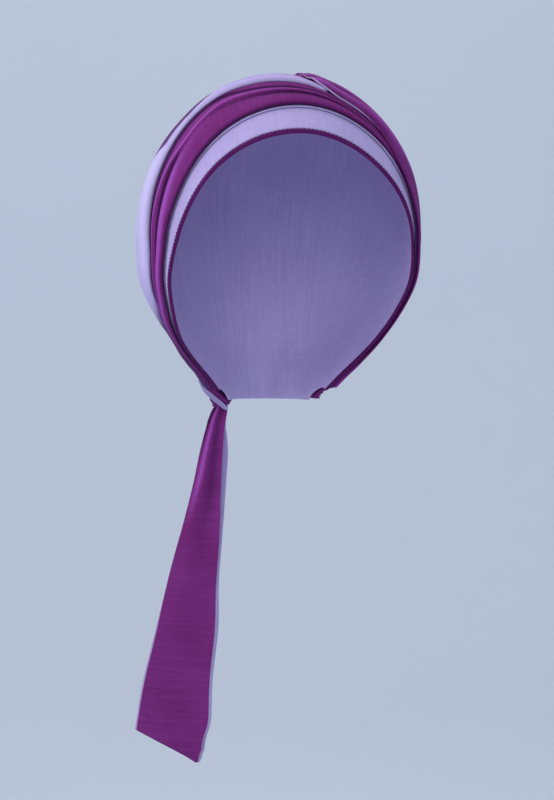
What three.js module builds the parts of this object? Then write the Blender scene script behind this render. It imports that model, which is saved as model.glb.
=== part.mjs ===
import * as THREE from 'three';

// Headscarf wound round the head and tied at the nape, in millimetres, +Z up
// The origin is the crown of the head that it sits on, and the face looks along -Y

// Head form that the cloth is shaped to
const HEAD_BREADTH = 164;
const HEAD_LENGTH = 194;
const CROWN_HEIGHT = 100;
// Middle of the gathered nape, below the widest level and behind the middle of the head
const NAPE_DROP = 103;
const NAPE_BACK = 46;
const NAPE_SIDE = -2;

// Cloth
const JERSEY = 1.4;
const LAYER_GAP = 0.4;
const PIECE_GAP = 0.35;
const BINDING_WIDTH = 3.2;
const BINDING_THICKNESS = 1.7;
const HEM_WIDTH = 1.4;
const PIPING_WIDTH = 1.4;
const TUCK = 9;
// Heights of the brow's folds, the roll behind the turned edge, that edge itself, the side and the pleats
const FOLD_RISE = 4.2;
const ROLL_RISE = 3.2;
const ROLL_WIDTH = 24;
const TURN_RISE = 1.2;
const SIDE_LIFT = 3.6;
const PLEAT_RISE = 2.2;
const PLEATS = 5;
const PLEAT_RUN = 1.35;

// Knot
const KNOT_WIDTH = 19;
const KNOT_HEIGHT = 19;
const KNOT_DEPTH = 13;
const KNOT_SIDE = -29;
const KNOT_LOBES = 3;
const KNOT_GROOVE = 0.1;
const KNOT_STEPS_ROUND = 16;
const KNOT_STEPS_ALONG = 10;

// Tails
const TAIL_LENGTH = 212;
const TAIL_WIDTH = 47;
const TAIL_SWING = 39;
const TAIL_FORWARD = 46;
const TAIL_SLANT = 22;
const TAIL_PLY = 1.0;
const TAIL_LIP = 1.0;
const TAIL_FOLD = 3.0;
const TAIL_SPACE = 7;
const TAIL_SHIFT = 4.5;
// Ridge of the fold over a tail's width, and how much less of it is left at the far edge, as shares
const TAIL_RIDGE = 0.3;
const TAIL_FADE = 0.5;

// Steps of the cloth's surfaces
const WAY_STEPS = 34;
const CROWN_STEPS = 18;
const PLEAT_STEPS = 25;
const BAND_STEPS = 5;
const ROW_SPREAD = 1.35;
// Share of the winding that is stepped evenly, the rest being closer together over the middle of the head
const WAY_EVENNESS = 0.62;
const TAIL_STEPS_ACROSS = 8;
const HALVINGS = 40;

// Head form: drop is a share of CROWN_HEIGHT below the widest level, the rest are shares of half the head
const levels = [
  { drop: 0.00, breadth: 1.000, front: 1.000, rear: 1.000 },
  { drop: 0.26, breadth: 0.975, front: 1.000, rear: 0.975 },
  { drop: 0.44, breadth: 0.900, front: 0.985, rear: 0.930 },
  { drop: 0.64, breadth: 0.785, front: 0.930, rear: 0.860 },
  { drop: 0.78, breadth: 0.680, front: 0.860, rear: 0.790 },
  { drop: 0.90, breadth: 0.580, front: 0.750, rear: 0.730 },
  { drop: 1.02, breadth: 0.515, front: 0.620, rear: 0.680 },
  { drop: 1.30, breadth: 0.470, front: 0.500, rear: 0.620 },
  { drop: 1.80, breadth: 0.460, front: 0.480, rear: 0.600 },
];

// Sections of the winding: way is a share of the run from the knot over the brow to the nape's far side
// face, brow, cover, turn and nape are tilts in degrees about the nape, rise, lift and roll are shares
const sections = [
  { way: 0.00, face: 40.0, brow: 52.0, cover: 64.0, turn: 92.0, nape: 150, rise: 0.20, lift: 0.0, roll: 0.0 },
  { way: 0.10, face: 48.4, brow: 54.6, cover: 63.0, turn: 79.0, nape: 152, rise: 0.40, lift: 0.2, roll: 0.0 },
  { way: 0.14, face: 50.0, brow: 54.5, cover: 70.0, turn: 82.0, nape: 152, rise: 0.50, lift: 0.3, roll: 0.0 },
  { way: 0.18, face: 48.7, brow: 52.2, cover: 77.0, turn: 86.0, nape: 152, rise: 0.60, lift: 0.5, roll: 0.0 },
  { way: 0.22, face: 45.7, brow: 48.7, cover: 63.0, turn: 77.0, nape: 151, rise: 0.72, lift: 0.8, roll: 0.0 },
  { way: 0.27, face: 43.0, brow: 46.0, cover: 57.5, turn: 72.5, nape: 150, rise: 0.85, lift: 1.0, roll: 0.1 },
  { way: 0.34, face: 47.6, brow: 52.6, cover: 69.0, turn: 75.5, nape: 148, rise: 1.00, lift: 0.8, roll: 0.8 },
  { way: 0.41, face: 51.8, brow: 57.2, cover: 71.0, turn: 76.0, nape: 147, rise: 0.90, lift: 0.3, roll: 0.8 },
  { way: 0.50, face: 52.6, brow: 58.3, cover: 65.8, turn: 70.8, nape: 146, rise: 0.80, lift: 0.1, roll: 0.3 },
  { way: 0.59, face: 50.8, brow: 56.6, cover: 59.6, turn: 60.2, nape: 145, rise: 0.30, lift: 0.0, roll: 1.0 },
  { way: 0.66, face: 50.4, brow: 54.2, cover: 56.4, turn: 57.0, nape: 142, rise: 0.15, lift: 0.0, roll: 0.4 },
  { way: 0.73, face: 48.5, brow: 51.6, cover: 58.5, turn: 59.0, nape: 132, rise: 0.25, lift: 0.1, roll: 0.0 },
  { way: 0.86, face: 50.0, brow: 54.5, cover: 66.0, turn: 67.0, nape: 96, rise: 0.20, lift: 0.0, roll: 0.0 },
  { way: 1.00, face: 40.0, brow: 52.0, cover: 76.0, turn: 77.0, nape: 64, rise: 0.10, lift: 0.0, roll: 0.0 },
];

// Folds of the brow wrap: across runs from its hem to the layer above it, height is a share of FOLD_RISE
const browFolds = [
  { across: 0.00, height: 0.25 },
  { across: 0.10, height: 0.80 },
  { across: 0.26, height: 0.55 },
  { across: 0.40, height: 0.95 },
  { across: 0.56, height: 0.05 },
  { across: 0.72, height: 0.85 },
  { across: 0.86, height: 0.00 },
  { across: 0.94, height: 0.08 },
  { across: 1.00, height: 0.00 },
];

// Turned edge: across runs over its width, height is a share of TURN_RISE
const turnFolds = [
  { across: 0.00, height: 0.0 },
  { across: 0.20, height: 0.9 },
  { across: 0.55, height: 1.0 },
  { across: 0.85, height: 0.5 },
  { across: 1.00, height: 0.1 },
];

// Tail sections: drop, middle, width, forward, fold, shift and space are shares of the tail's named sizes
const tailSections = [
  { drop: 0.00, middle: 0.00, width: 0.11, forward: 0.00, fold: 0.20, shift: 0.0, space: 0.45 },
  { drop: 0.05, middle: 0.09, width: 0.23, forward: 0.05, fold: 0.50, shift: 0.3, space: 0.80 },
  { drop: 0.13, middle: 0.18, width: 0.31, forward: 0.13, fold: 0.85, shift: 1.0, space: 1.00 },
  { drop: 0.23, middle: 0.27, width: 0.38, forward: 0.23, fold: 0.85, shift: 1.0, space: 1.00 },
  { drop: 0.35, middle: 0.39, width: 0.50, forward: 0.36, fold: 0.60, shift: 0.8, space: 1.00 },
  { drop: 0.52, middle: 0.56, width: 0.68, forward: 0.53, fold: 0.40, shift: 0.3, space: 0.90 },
  { drop: 0.70, middle: 0.72, width: 0.84, forward: 0.71, fold: 0.25, shift: 0.1, space: 0.80 },
  { drop: 0.85, middle: 0.88, width: 0.93, forward: 0.86, fold: 0.20, shift: 0.0, space: 0.70 },
  { drop: 1.00, middle: 1.00, width: 1.00, forward: 1.00, fold: 0.15, shift: 0.0, space: 0.60 },
];

// Layers of cloth, as heights above the head
const CAP_TOP = JERSEY;
const BROW_BASE = BINDING_THICKNESS + LAYER_GAP;
const CROWN_BASE = BROW_BASE + JERSEY + LAYER_GAP;
const TURN_BASE = CROWN_BASE + JERSEY + LAYER_GAP;

// Ends of the winding at the two sides of the nape, and the lower edge behind the neck
const FIRST_WAY = 0.07;
const LAST_WAY = 0.93;
const GATHER_WAY = 0.16;
const TURN_END = 0.535;
const TURN_TAPER = 0.05;
const TURN_TIP = 0.004;
const PIPING_START = 0.525;
const PIPING_END = 0.6;
const CAP_LOWER = 178;
const CROWN_LOWER = 173;
const BAND_LOWER = 176;

const DEGREE = Math.PI / 180;
const nape = new THREE.Vector3(NAPE_SIDE, NAPE_BACK, -CROWN_HEIGHT - NAPE_DROP);

// Smooth curve through one column of a table, with flat ends beyond it
function column(rows, key, at, name) {
  const last = rows.length - 1;
  const x = Math.min(Math.max(at, rows[0][key]), rows[last][key]);
  let i = 0;
  while (i < last - 1 && x > rows[i + 1][key]) i += 1;
  const slope = (k) => {
    const a = rows[Math.max(k - 1, 0)];
    const b = rows[Math.min(k + 1, last)];
    return (b[name] - a[name]) / (b[key] - a[key]);
  };
  const span = rows[i + 1][key] - rows[i][key];
  const t = (x - rows[i][key]) / span;
  const rest = 1 - t;
  return rest * rest * (1 + 2 * t) * rows[i][name] + t * t * (3 - 2 * t) * rows[i + 1][name]
    + t * rest * rest * span * slope(i) - t * t * rest * span * slope(i + 1);
}

const section = (way, name) => column(sections, 'way', way, name);
const between = (a, b, share) => a + (b - a) * share;

// Above zero where a point lies outside the head form grown by a height
function outside(point, grow) {
  const above = point.z + CROWN_HEIGHT;
  const drop = Math.max(-above / CROWN_HEIGHT, 0);
  const breadth = HEAD_BREADTH / 2 * column(levels, 'drop', drop, 'breadth') + grow;
  const reach = HEAD_LENGTH / 2 * column(levels, 'drop', drop, point.y < 0 ? 'front' : 'rear') + grow;
  const high = Math.max(above, 0) / (CROWN_HEIGHT + grow);
  return (point.x / breadth) ** 2 + (point.y / reach) ** 2 + high ** 2 - 1;
}

// Point on the grown head form along a ray from the nape
function onHead(way, tilt, grow) {
  const turn = way * Math.PI;
  const forward = Math.sin(turn);
  const ray = new THREE.Vector3(
    -Math.cos(turn),
    -forward * Math.cos(tilt * DEGREE),
    forward * Math.sin(tilt * DEGREE),
  );
  let near = 0;
  let far = 2 * (HEAD_LENGTH + CROWN_HEIGHT);
  for (let step = 0; step < HALVINGS; step += 1) {
    const middle = (near + far) / 2;
    const point = nape.clone().addScaledVector(ray, middle);
    if (outside(point, grow) > 0) far = middle;
    else near = middle;
  }
  return nape.clone().addScaledVector(ray, (near + far) / 2);
}

// Tilt that a length of cloth takes up, measured round the axis of the nape
function tiltOf(length, way, tilt) {
  const point = onHead(way, tilt, 0);
  const arm = Math.hypot(point.y - nape.y, point.z - nape.z);
  return length / arm / DEGREE;
}

// Width of a strip, which narrows where the cloth is gathered at the two sides of the nape
function gathered(width, way) {
  return width * Math.min(1, Math.sin(way * Math.PI) / Math.sin(GATHER_WAY * Math.PI));
}

// Tilt that a strip takes up along one of the edges in the sections
function stripTilt(way, edge, width) {
  return tiltOf(width, way, section(way, edge));
}

// Share of the winding at a step
function wayAt(step) {
  const t = 2 * step / WAY_STEPS - 1;
  const spread = WAY_EVENNESS * t + (1 - WAY_EVENNESS) * t ** 3;
  return (FIRST_WAY + LAST_WAY) / 2 + (LAST_WAY - FIRST_WAY) / 2 * spread;
}

function stepsFrom(first, last) {
  const steps = [];
  for (let step = 0; step <= WAY_STEPS; step += 1) {
    if (wayAt(step) >= first && wayAt(step) <= last) steps.push(step);
  }
  return steps.map(wayAt);
}

// Closed wall between two grids of points, outer and inner, of the same rows and columns
function wall(outer, inner) {
  const rows = outer.length;
  const columns = outer[0].length;
  const points = [...outer.flat(), ...inner.flat()];
  const faces = [];
  const at = (row, col, side) => side * rows * columns + row * columns + col;
  const quad = (a, b, c, d) => faces.push(a, b, c, a, c, d);
  for (let r = 0; r < rows - 1; r += 1) {
    for (let c = 0; c < columns - 1; c += 1) {
      quad(at(r, c, 0), at(r, c + 1, 0), at(r + 1, c + 1, 0), at(r + 1, c, 0));
      quad(at(r, c, 1), at(r + 1, c, 1), at(r + 1, c + 1, 1), at(r, c + 1, 1));
    }
  }
  for (let r = 0; r < rows - 1; r += 1) {
    quad(at(r, 0, 1), at(r, 0, 0), at(r + 1, 0, 0), at(r + 1, 0, 1));
    const end = columns - 1;
    quad(at(r, end, 0), at(r, end, 1), at(r + 1, end, 1), at(r + 1, end, 0));
  }
  for (let c = 0; c < columns - 1; c += 1) {
    quad(at(0, c, 0), at(0, c, 1), at(0, c + 1, 1), at(0, c + 1, 0));
    const foot = rows - 1;
    quad(at(foot, c, 1), at(foot, c, 0), at(foot, c + 1, 0), at(foot, c + 1, 1));
  }
  const geometry = new THREE.BufferGeometry();
  const numbers = points.flatMap((p) => p.toArray());
  geometry.setAttribute('position', new THREE.Float32BufferAttribute(numbers, 3));
  geometry.setIndex(faces);
  geometry.computeVertexNormals();
  return geometry;
}

// Layer of cloth on the head: tilts gives the rows' tilts at a way, height their heights above the head
function layer(ways, rowCount, tilts, height, thickness) {
  const grid = (lift) => Array.from({ length: rowCount }, (_, row) => ways.map((way) => {
    const tilt = tilts(way, row);
    return onHead(way, tilt, height(way, row) + lift);
  }));
  return wall(grid(thickness), grid(0));
}

// Head cap of knitted jersey, from the binding to the nape
function baseCap() {
  const front = (way) => {
    const seam = gathered(BINDING_WIDTH, way) + PIECE_GAP;
    return section(way, 'face') + stripTilt(way, 'face', seam);
  };
  return layer(
    stepsFrom(0, 1),
    CROWN_STEPS + 1,
    (way, row) => between(front(way), CAP_LOWER, row / CROWN_STEPS),
    () => 0,
    CAP_TOP,
  );
}

// Strip sewn along the edge of the face opening
function frontBinding() {
  return layer(
    stepsFrom(0, 1),
    2,
    (way, row) => section(way, 'face') + row * stripTilt(way, 'face', gathered(BINDING_WIDTH, way)),
    () => 0,
    BINDING_THICKNESS,
  );
}

// Turned hem that shows below the brow wrap
function browHem() {
  return layer(
    stepsFrom(0, 1),
    2,
    (way, row) => section(way, 'brow') + row * stripTilt(way, 'brow', gathered(HEM_WIDTH, way)),
    () => BROW_BASE,
    JERSEY,
  );
}

// Folded band over the brow, tucked under the crown wrap behind
function browWrap() {
  const rows = browFolds.length;
  return layer(
    stepsFrom(0, 1),
    rows + 1,
    (way, row) => {
      const hem = section(way, 'brow') + stripTilt(way, 'brow', gathered(HEM_WIDTH, way) + PIECE_GAP);
      const cover = section(way, 'cover');
      if (row < rows) return between(hem, cover, browFolds[row].across);
      return cover + stripTilt(way, 'cover', gathered(TUCK, way));
    },
    (way, row) => {
      const share = row < rows ? browFolds[row].height : 0;
      return BROW_BASE + FOLD_RISE * section(way, 'rise') * share;
    },
    JERSEY,
  );
}

// Share of the crown wrap's run from its front edge to the nape
function crownShare(way, tilt) {
  const front = section(way, 'cover');
  return Math.max(tilt - front, 0) / (CROWN_LOWER - front);
}

// Height of the crown wrap: loose over one side, in pleats behind that run out at the nape
function crownHeight(way, tilt) {
  const share = Math.min(crownShare(way, tilt), 1);
  const free = Math.sin(Math.PI * Math.min(share * PLEAT_RUN, 1)) ** 2 * Math.sin(Math.PI * way) ** 2;
  const pleat = 0.5 - 0.5 * Math.cos(2 * Math.PI * PLEATS * share);
  const side = section(way, 'lift') * (1 - share);
  const turn = section(way, 'turn');
  const past = Math.min(Math.max((tilt - turn) / tiltOf(ROLL_WIDTH, way, turn), 0), 1);
  const roll = section(way, 'roll') * Math.sin(Math.PI * past) ** 2;
  return CROWN_BASE + SIDE_LIFT * side + ROLL_RISE * roll + PLEAT_RISE * pleat * free;
}

// Wide wrap over the crown and the back of the head
function crownWrap() {
  const tilt = (way, row) => between(section(way, 'cover'), CROWN_LOWER, (row / PLEAT_STEPS) ** ROW_SPREAD);
  return layer(
    stepsFrom(0, 1),
    PLEAT_STEPS + 1,
    tilt,
    (way, row) => crownHeight(way, tilt(way, row)),
    JERSEY,
  );
}

// Lining that shows as a line along the crown wrap's front edge
function crownPiping() {
  return layer(
    stepsFrom(PIPING_START, PIPING_END),
    2,
    (way, row) => {
      const inFront = PIECE_GAP + PIPING_WIDTH * (1 - row);
      return section(way, 'cover') - stripTilt(way, 'cover', inFront);
    },
    (way) => crownHeight(way, section(way, 'cover')) + LAYER_GAP,
    JERSEY,
  );
}

// Front edge of the crown wrap turned back, which shows its reverse and ends in a point
function turnedEdge() {
  const tilt = (way, row) => {
    const taper = Math.min(1, Math.max(TURN_END - way, TURN_TIP) / TURN_TAPER);
    return between(section(way, 'cover'), section(way, 'turn'), turnFolds[row].across * taper);
  };
  return layer(
    stepsFrom(0, TURN_END),
    turnFolds.length,
    tilt,
    (way, row) => crownHeight(way, tilt(way, row)) + JERSEY + LAYER_GAP
      + TURN_RISE * turnFolds[row].height * section(way, 'lift'),
    JERSEY,
  );
}

// End of the wrap brought round the nape to the knot
function napeBand() {
  const tilt = (way, row) => between(section(way, 'nape'), BAND_LOWER, row / BAND_STEPS);
  return layer(
    stepsFrom(0, 1),
    BAND_STEPS + 1,
    tilt,
    (way, row) => crownHeight(way, tilt(way, row)) + JERSEY + LAYER_GAP,
    JERSEY,
  );
}

// Knot before it is set in its place, a lump with shallow grooves
function knotLump() {
  const geometry = new THREE.SphereGeometry(1, KNOT_STEPS_ROUND, KNOT_STEPS_ALONG);
  geometry.rotateX(Math.PI / 2);
  const spots = geometry.attributes.position;
  for (let i = 0; i < spots.count; i += 1) {
    const p = new THREE.Vector3().fromBufferAttribute(spots, i);
    const around = Math.atan2(p.x, p.z);
    const lobe = 0.5 - 0.5 * Math.cos(KNOT_LOBES * 2 * around);
    const grooved = 1 - KNOT_GROOVE * (1 - p.y ** 2) * lobe;
    spots.setXYZ(i, p.x * grooved * KNOT_WIDTH / 2, p.y * KNOT_DEPTH / 2, p.z * grooved * KNOT_HEIGHT / 2);
  }
  return geometry;
}

// Back of the wrap's outermost layer at a place across and a level
function backOfWrap(x, z) {
  const top = TURN_BASE + JERSEY + LAYER_GAP;
  const drop = -(z + CROWN_HEIGHT) / CROWN_HEIGHT;
  const breadth = HEAD_BREADTH / 2 * column(levels, 'drop', drop, 'breadth') + top;
  const reach = HEAD_LENGTH / 2 * column(levels, 'drop', drop, 'rear') + top;
  return reach * Math.sqrt(Math.max(1 - (x / breadth) ** 2, 0));
}

// Middle of the knot, which rests against the wrap at the nape
function knotPlace(lump) {
  const place = new THREE.Vector3(KNOT_SIDE, 0, nape.z + KNOT_HEIGHT / 4);
  const spots = lump.attributes.position;
  for (let i = 0; i < spots.count; i += 1) {
    const p = new THREE.Vector3().fromBufferAttribute(spots, i);
    const seat = backOfWrap(place.x + p.x, place.z + p.z) + PIECE_GAP - p.y;
    place.y = Math.max(place.y, seat);
  }
  return place;
}

const knot = knotLump();
const knotMiddle = knotPlace(knot);
knot.translate(...knotMiddle.toArray());

// Layer of a tail hanging from the knot: place is -1 for the front tail and 1 for the rear one,
// back sets it behind the tail's face, shift moves it sideways and lip widens it
function tail(place, back, shift, lip) {
  const top = knotMiddle.z - KNOT_HEIGHT / 2 - PIECE_GAP;
  const grid = (depth) => tailSections.map((row) => {
    const width = TAIL_WIDTH * row.width;
    const middle = knotMiddle.y - TAIL_FORWARD * row.forward + place * TAIL_SPACE / 2 * row.space + back;
    const left = KNOT_SIDE - TAIL_SWING * row.middle - width / 2 + shift * row.shift;
    const spots = [];
    for (let step = 0; step <= TAIL_STEPS_ACROSS; step += 1) {
      const share = step / TAIL_STEPS_ACROSS;
      spots.push(new THREE.Vector3(
        left + width * share + (step === TAIL_STEPS_ACROSS ? lip : 0),
        middle + depth + TAIL_FOLD * row.fold * foldAcross(share),
        top - TAIL_LENGTH * row.drop - TAIL_SLANT * share * row.drop ** 4,
      ));
    }
    return spots;
  });
  return wall(grid(TAIL_PLY), grid(0));
}

// Fold of a tail over its width: a ridge towards its outer edge and a hollow beside it
function foldAcross(share) {
  return -Math.cos(2 * Math.PI * (share - TAIL_RIDGE)) * (1 - TAIL_FADE * share);
}

const purple = { color: 0x6e2870, roughness: 0.86, metalness: 0 };
const lavender = { color: 0xaa9bd7, roughness: 0.84, metalness: 0 };
const deepPurple = { color: 0x54205a, roughness: 0.88, metalness: 0 };

const scarf = new THREE.Group();

function add(name, geometry, look) {
  const mesh = new THREE.Mesh(geometry, new THREE.MeshStandardMaterial(look));
  mesh.name = name;
  scarf.add(mesh);
}

add('base_cap', baseCap(), lavender);
add('front_binding', frontBinding(), deepPurple);
add('brow_hem', browHem(), lavender);
add('brow_wrap', browWrap(), purple);
add('crown_wrap', crownWrap(), purple);
add('crown_piping', crownPiping(), lavender);
add('turned_edge', turnedEdge(), lavender);
add('nape_band', napeBand(), purple);
add('nape_knot', knot, deepPurple);
add('front_tail_face', tail(-1, 0, 0, 0), purple);
add('front_tail_lining', tail(-1, TAIL_PLY + PIECE_GAP, 0, TAIL_LIP), lavender);
add('rear_tail_face', tail(1, 0, TAIL_SHIFT, TAIL_LIP), lavender);
add('rear_tail_lining', tail(1, TAIL_PLY + PIECE_GAP, TAIL_SHIFT, 0), purple);

export default scarf;
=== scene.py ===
"""Headscarf of two-sided jersey, wound over a fitted cap and tied at the nape.

The cloth is worked out with numpy on a chart of the rounded form that it fits. A way runs from the knot's side
of the nape over the brow to the far side, from 0 to 1. A tilt is an angle in degrees, up round the nape's X axis
from straight ahead. A height is how far the cloth lies off the form. A tone is light painted on the cloth: above
zero a painted highlight, below zero painted shade. Lengths are in metres.
"""

import math

import bpy
import numpy as np
from bpy.props import FloatProperty, FloatVectorProperty, PointerProperty
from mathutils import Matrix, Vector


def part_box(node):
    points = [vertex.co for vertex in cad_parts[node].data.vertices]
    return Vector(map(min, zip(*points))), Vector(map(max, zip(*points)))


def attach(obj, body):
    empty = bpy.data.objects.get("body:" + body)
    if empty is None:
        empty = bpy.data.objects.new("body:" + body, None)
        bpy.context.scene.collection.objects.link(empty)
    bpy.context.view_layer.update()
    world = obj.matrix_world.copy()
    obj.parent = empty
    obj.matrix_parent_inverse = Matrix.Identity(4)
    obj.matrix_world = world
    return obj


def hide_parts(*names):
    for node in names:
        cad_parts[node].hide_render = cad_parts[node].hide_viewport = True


bl_info = {
    "name": "Headscarf",
    "version": (1, 0, 0),
    "blender": (4, 5, 0),
    "location": "View3D > Sidebar > Headscarf",
    "description": "Builds a wound two-sided jersey headscarf with its knot and tails",
    "category": "Add Mesh",
}

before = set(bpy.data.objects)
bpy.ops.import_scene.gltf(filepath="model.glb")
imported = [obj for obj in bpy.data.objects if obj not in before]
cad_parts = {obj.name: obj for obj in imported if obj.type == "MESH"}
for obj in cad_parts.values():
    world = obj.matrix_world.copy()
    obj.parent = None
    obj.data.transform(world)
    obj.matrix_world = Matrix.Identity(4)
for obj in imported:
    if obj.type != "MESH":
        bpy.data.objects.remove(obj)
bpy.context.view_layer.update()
KNOT_LOW, KNOT_HIGH = (np.array(corner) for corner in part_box("nape_knot"))
KNOT_MIDDLE, KNOT_HALF = (KNOT_LOW + KNOT_HIGH) / 2, (KNOT_HIGH - KNOT_LOW) / 2
TAIL_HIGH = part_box("front_tail_face")[1]


def table(names, *rows):
    """Rows of a table, with each value under the name of its column."""
    return [dict(zip(names.split(), row)) for row in rows]


# Form inside: drop is a share of the crown height below the widest level, the rest are shares of half its size
LEVELS = table(
    "drop breadth front rear",
    (0.00, 1.000, 1.000, 1.000),
    (0.26, 0.975, 1.000, 0.975),
    (0.44, 0.900, 0.985, 0.930),
    (0.64, 0.785, 0.930, 0.860),
    (0.78, 0.680, 0.860, 0.790),
    (0.90, 0.580, 0.750, 0.730),
    (1.02, 0.515, 0.620, 0.680),
    (1.30, 0.470, 0.500, 0.620),
    (1.80, 0.460, 0.480, 0.600),
)

# Edges of the winding as tilts: face opening, hem, cover (the wrap's front), turn (the lining's far edge), nape
EDGES = table(
    "way face brow cover turn nape",
    (0.00, 40.0, 52.0, 64.0, 92.0, 150),
    (0.10, 48.4, 54.6, 63.0, 79.0, 152),
    (0.14, 50.0, 54.5, 70.0, 82.0, 152),
    (0.18, 48.7, 52.2, 77.0, 86.0, 152),
    (0.22, 45.7, 48.7, 63.0, 77.0, 151),
    (0.27, 43.0, 46.0, 57.5, 72.5, 150),
    (0.34, 47.6, 52.6, 69.0, 75.5, 148),
    (0.41, 51.8, 57.2, 71.0, 76.0, 147),
    (0.50, 52.6, 58.3, 65.8, 70.8, 146),
    (0.59, 50.8, 56.6, 59.6, 60.2, 145),
    (0.66, 50.4, 54.2, 56.4, 57.0, 142),
    (0.73, 48.5, 51.6, 58.5, 59.0, 132),
    (0.86, 50.0, 54.5, 66.0, 67.0, 96),
    (1.00, 40.0, 52.0, 76.0, 77.0, 64),
)

# How much of the folds' rise, the side's lift and the roll behind the lining there is at a way
FULLNESS = table(
    "way rise lift roll",
    (0.00, 0.20, 0.00, 0.00),
    (0.14, 0.50, 0.30, 0.00),
    (0.27, 0.85, 1.00, 0.10),
    (0.34, 1.00, 0.80, 0.90),
    (0.38, 0.96, 0.55, 0.80),
    (0.43, 0.88, 0.25, 0.15),
    (0.50, 0.80, 0.10, 0.00),
    (0.59, 0.30, 0.00, 0.80),
    (0.66, 0.15, 0.00, 0.40),
    (0.73, 0.25, 0.10, 0.00),
    (0.86, 0.20, 0.00, 0.00),
    (1.00, 0.10, 0.00, 0.00),
)

# Lines of the brow's folds, as shares of the run from the hem to the layer that covers it
FOLD_LINES = table(
    "way panel second groove sharp crease band",
    (0.070, 0.20, 0.40, 0.50, 0.62, 0.78, 0.90),
    (0.180, 0.12, 0.30, 0.42, 0.55, 0.75, 0.90),
    (0.250, 0.06, 0.14, 0.28, 0.46, 0.70, 0.88),
    (0.280, 0.06, 0.14, 0.30, 0.56, 0.76, 0.90),
    (0.310, 0.07, 0.16, 0.36, 0.64, 0.80, 0.92),
    (0.335, 0.08, 0.18, 0.36, 0.57, 0.78, 0.90),
    (0.360, 0.12, 0.25, 0.40, 0.55, 0.76, 0.89),
    (0.385, 0.18, 0.34, 0.40, 0.47, 0.82, 0.93),
    (0.410, 0.20, 0.40, 0.46, 0.52, 0.86, 0.95),
    (0.435, 0.16, 0.32, 0.44, 0.56, 0.80, 0.91),
    (0.460, 0.12, 0.22, 0.38, 0.49, 0.66, 0.83),
    (0.480, 0.10, 0.20, 0.36, 0.46, 0.62, 0.80),
    (0.515, 0.10, 0.20, 0.36, 0.45, 0.60, 0.79),
    (0.550, 0.12, 0.22, 0.38, 0.47, 0.62, 0.80),
    (0.930, 0.12, 0.22, 0.38, 0.47, 0.62, 0.80),
)

# Heights of the folds on those lines, as shares of their rise
FOLD_HEIGHTS = table(
    "way panel second groove sharp crease band",
    (0.070, 0.60, 0.70, 0.50, 0.60, 0.40, 0.35),
    (0.180, 0.65, 0.90, 0.60, 0.80, 0.50, 0.40),
    (0.250, 0.60, 0.90, 0.45, 0.85, 0.50, 0.40),
    (0.280, 0.55, 0.90, 0.40, 0.85, 0.45, 0.40),
    (0.310, 0.55, 0.85, 0.40, 0.85, 0.45, 0.40),
    (0.335, 0.60, 0.85, 0.45, 0.90, 0.50, 0.45),
    (0.360, 0.60, 0.85, 0.55, 0.90, 0.50, 0.45),
    (0.385, 0.65, 0.85, 0.75, 0.95, 0.50, 0.50),
    (0.410, 0.65, 0.85, 0.85, 0.95, 0.50, 0.55),
    (0.435, 0.65, 0.70, 0.60, 0.95, 0.60, 0.80),
    (0.460, 0.62, 0.68, 0.55, 0.90, 0.60, 0.85),
    (0.480, 0.60, 0.66, 0.55, 0.90, 0.60, 0.90),
    (0.515, 0.60, 0.66, 0.55, 0.90, 0.60, 0.90),
    (0.550, 0.60, 0.60, 0.50, 0.80, 0.55, 0.70),
    (0.930, 0.60, 0.60, 0.50, 0.80, 0.55, 0.70),
)

# Painted highlight on the two ridges, and painted shade in the hollows and under the layer above (contact)
FOLD_PAINTED_LIGHT = table(
    "way second groove sharp crease contact",
    (0.07, 0.0, 0.2, 0.0, 0.3, 0.5),
    (0.18, 0.6, 0.5, 0.3, 0.5, 0.6),
    (0.25, 0.9, 0.7, 0.6, 0.7, 0.8),
    (0.31, 0.9, 0.9, 1.0, 0.8, 0.9),
    (0.36, 0.6, 0.8, 1.0, 0.8, 1.0),
    (0.40, 0.2, 0.3, 0.9, 0.7, 1.0),
    (0.43, 0.0, 0.3, 0.5, 0.9, 1.0),
    (0.50, 0.0, 0.6, 0.4, 1.0, 1.0),
    (0.55, 0.0, 0.5, 0.3, 0.9, 0.8),
    (0.60, 0.0, 0.2, 0.1, 0.5, 0.6),
    (0.93, 0.0, 0.1, 0.0, 0.2, 0.4),
)
# Widths of those painted bells, and the contrast that the brow's painted light is raised by
FOLD_WIDTHS = {"second": 0.09, "groove": 0.08, "sharp": 0.028, "crease": 0.05, "contact": 0.14}
FOLD_NAMES = ("panel", "second", "groove", "sharp", "crease", "band")
BROW_CONTRAST = 1.7
# Height of the folds at the hem, the painted shadow line there and its width, and how far the puckers reach over
# the brow
HEM_SHARE, HEM_SHADOW, HEM_SHADOW_WIDTH = 0.25, 0.4, 0.03
BROW_PUCKERS, BROW_SPREAD = 0.6, 20
# Share of the hem that shows at the sides, and the ways over which it comes out and goes in again
HEM_LEAST, HEM_OPENS, HEM_CLOSES = 0.08, (0.36, 0.44), (0.66, 0.60)

# Height of the turned lining over its width, as a share of its rise
TURN_FOLDS = table(
    "across height",
    (0.00, 0.30),
    (0.20, 0.90),
    (0.48, 0.80),
    (0.62, 1.00),
    (0.85, 0.50),
    (1.00, 0.10),
)

# Edge of the panel that crosses over the top from the front towards the nape
PANEL_EDGE = table(
    "tilt way",
    (60.0, 0.575),
    (61.2, 0.554),
    (62.4, 0.538),
    (64.4, 0.526),
    (66.8, 0.520),
    (70.1, 0.516),
    (85.0, 0.512),
    (110.0, 0.478),
    (140.0, 0.435),
    (172.9, 0.400),
)

# Long soft drapes over the crown: cycles over the run to the nape, slant against the way, phase, share of rise
DRAPES = table(
    "cycles slant phase share",
    (3.0, 4.0, 0.10, 1.0),
    (5.0, -3.0, 0.45, 0.6),
    (8.0, 5.0, 0.80, 0.3),
)
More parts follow.
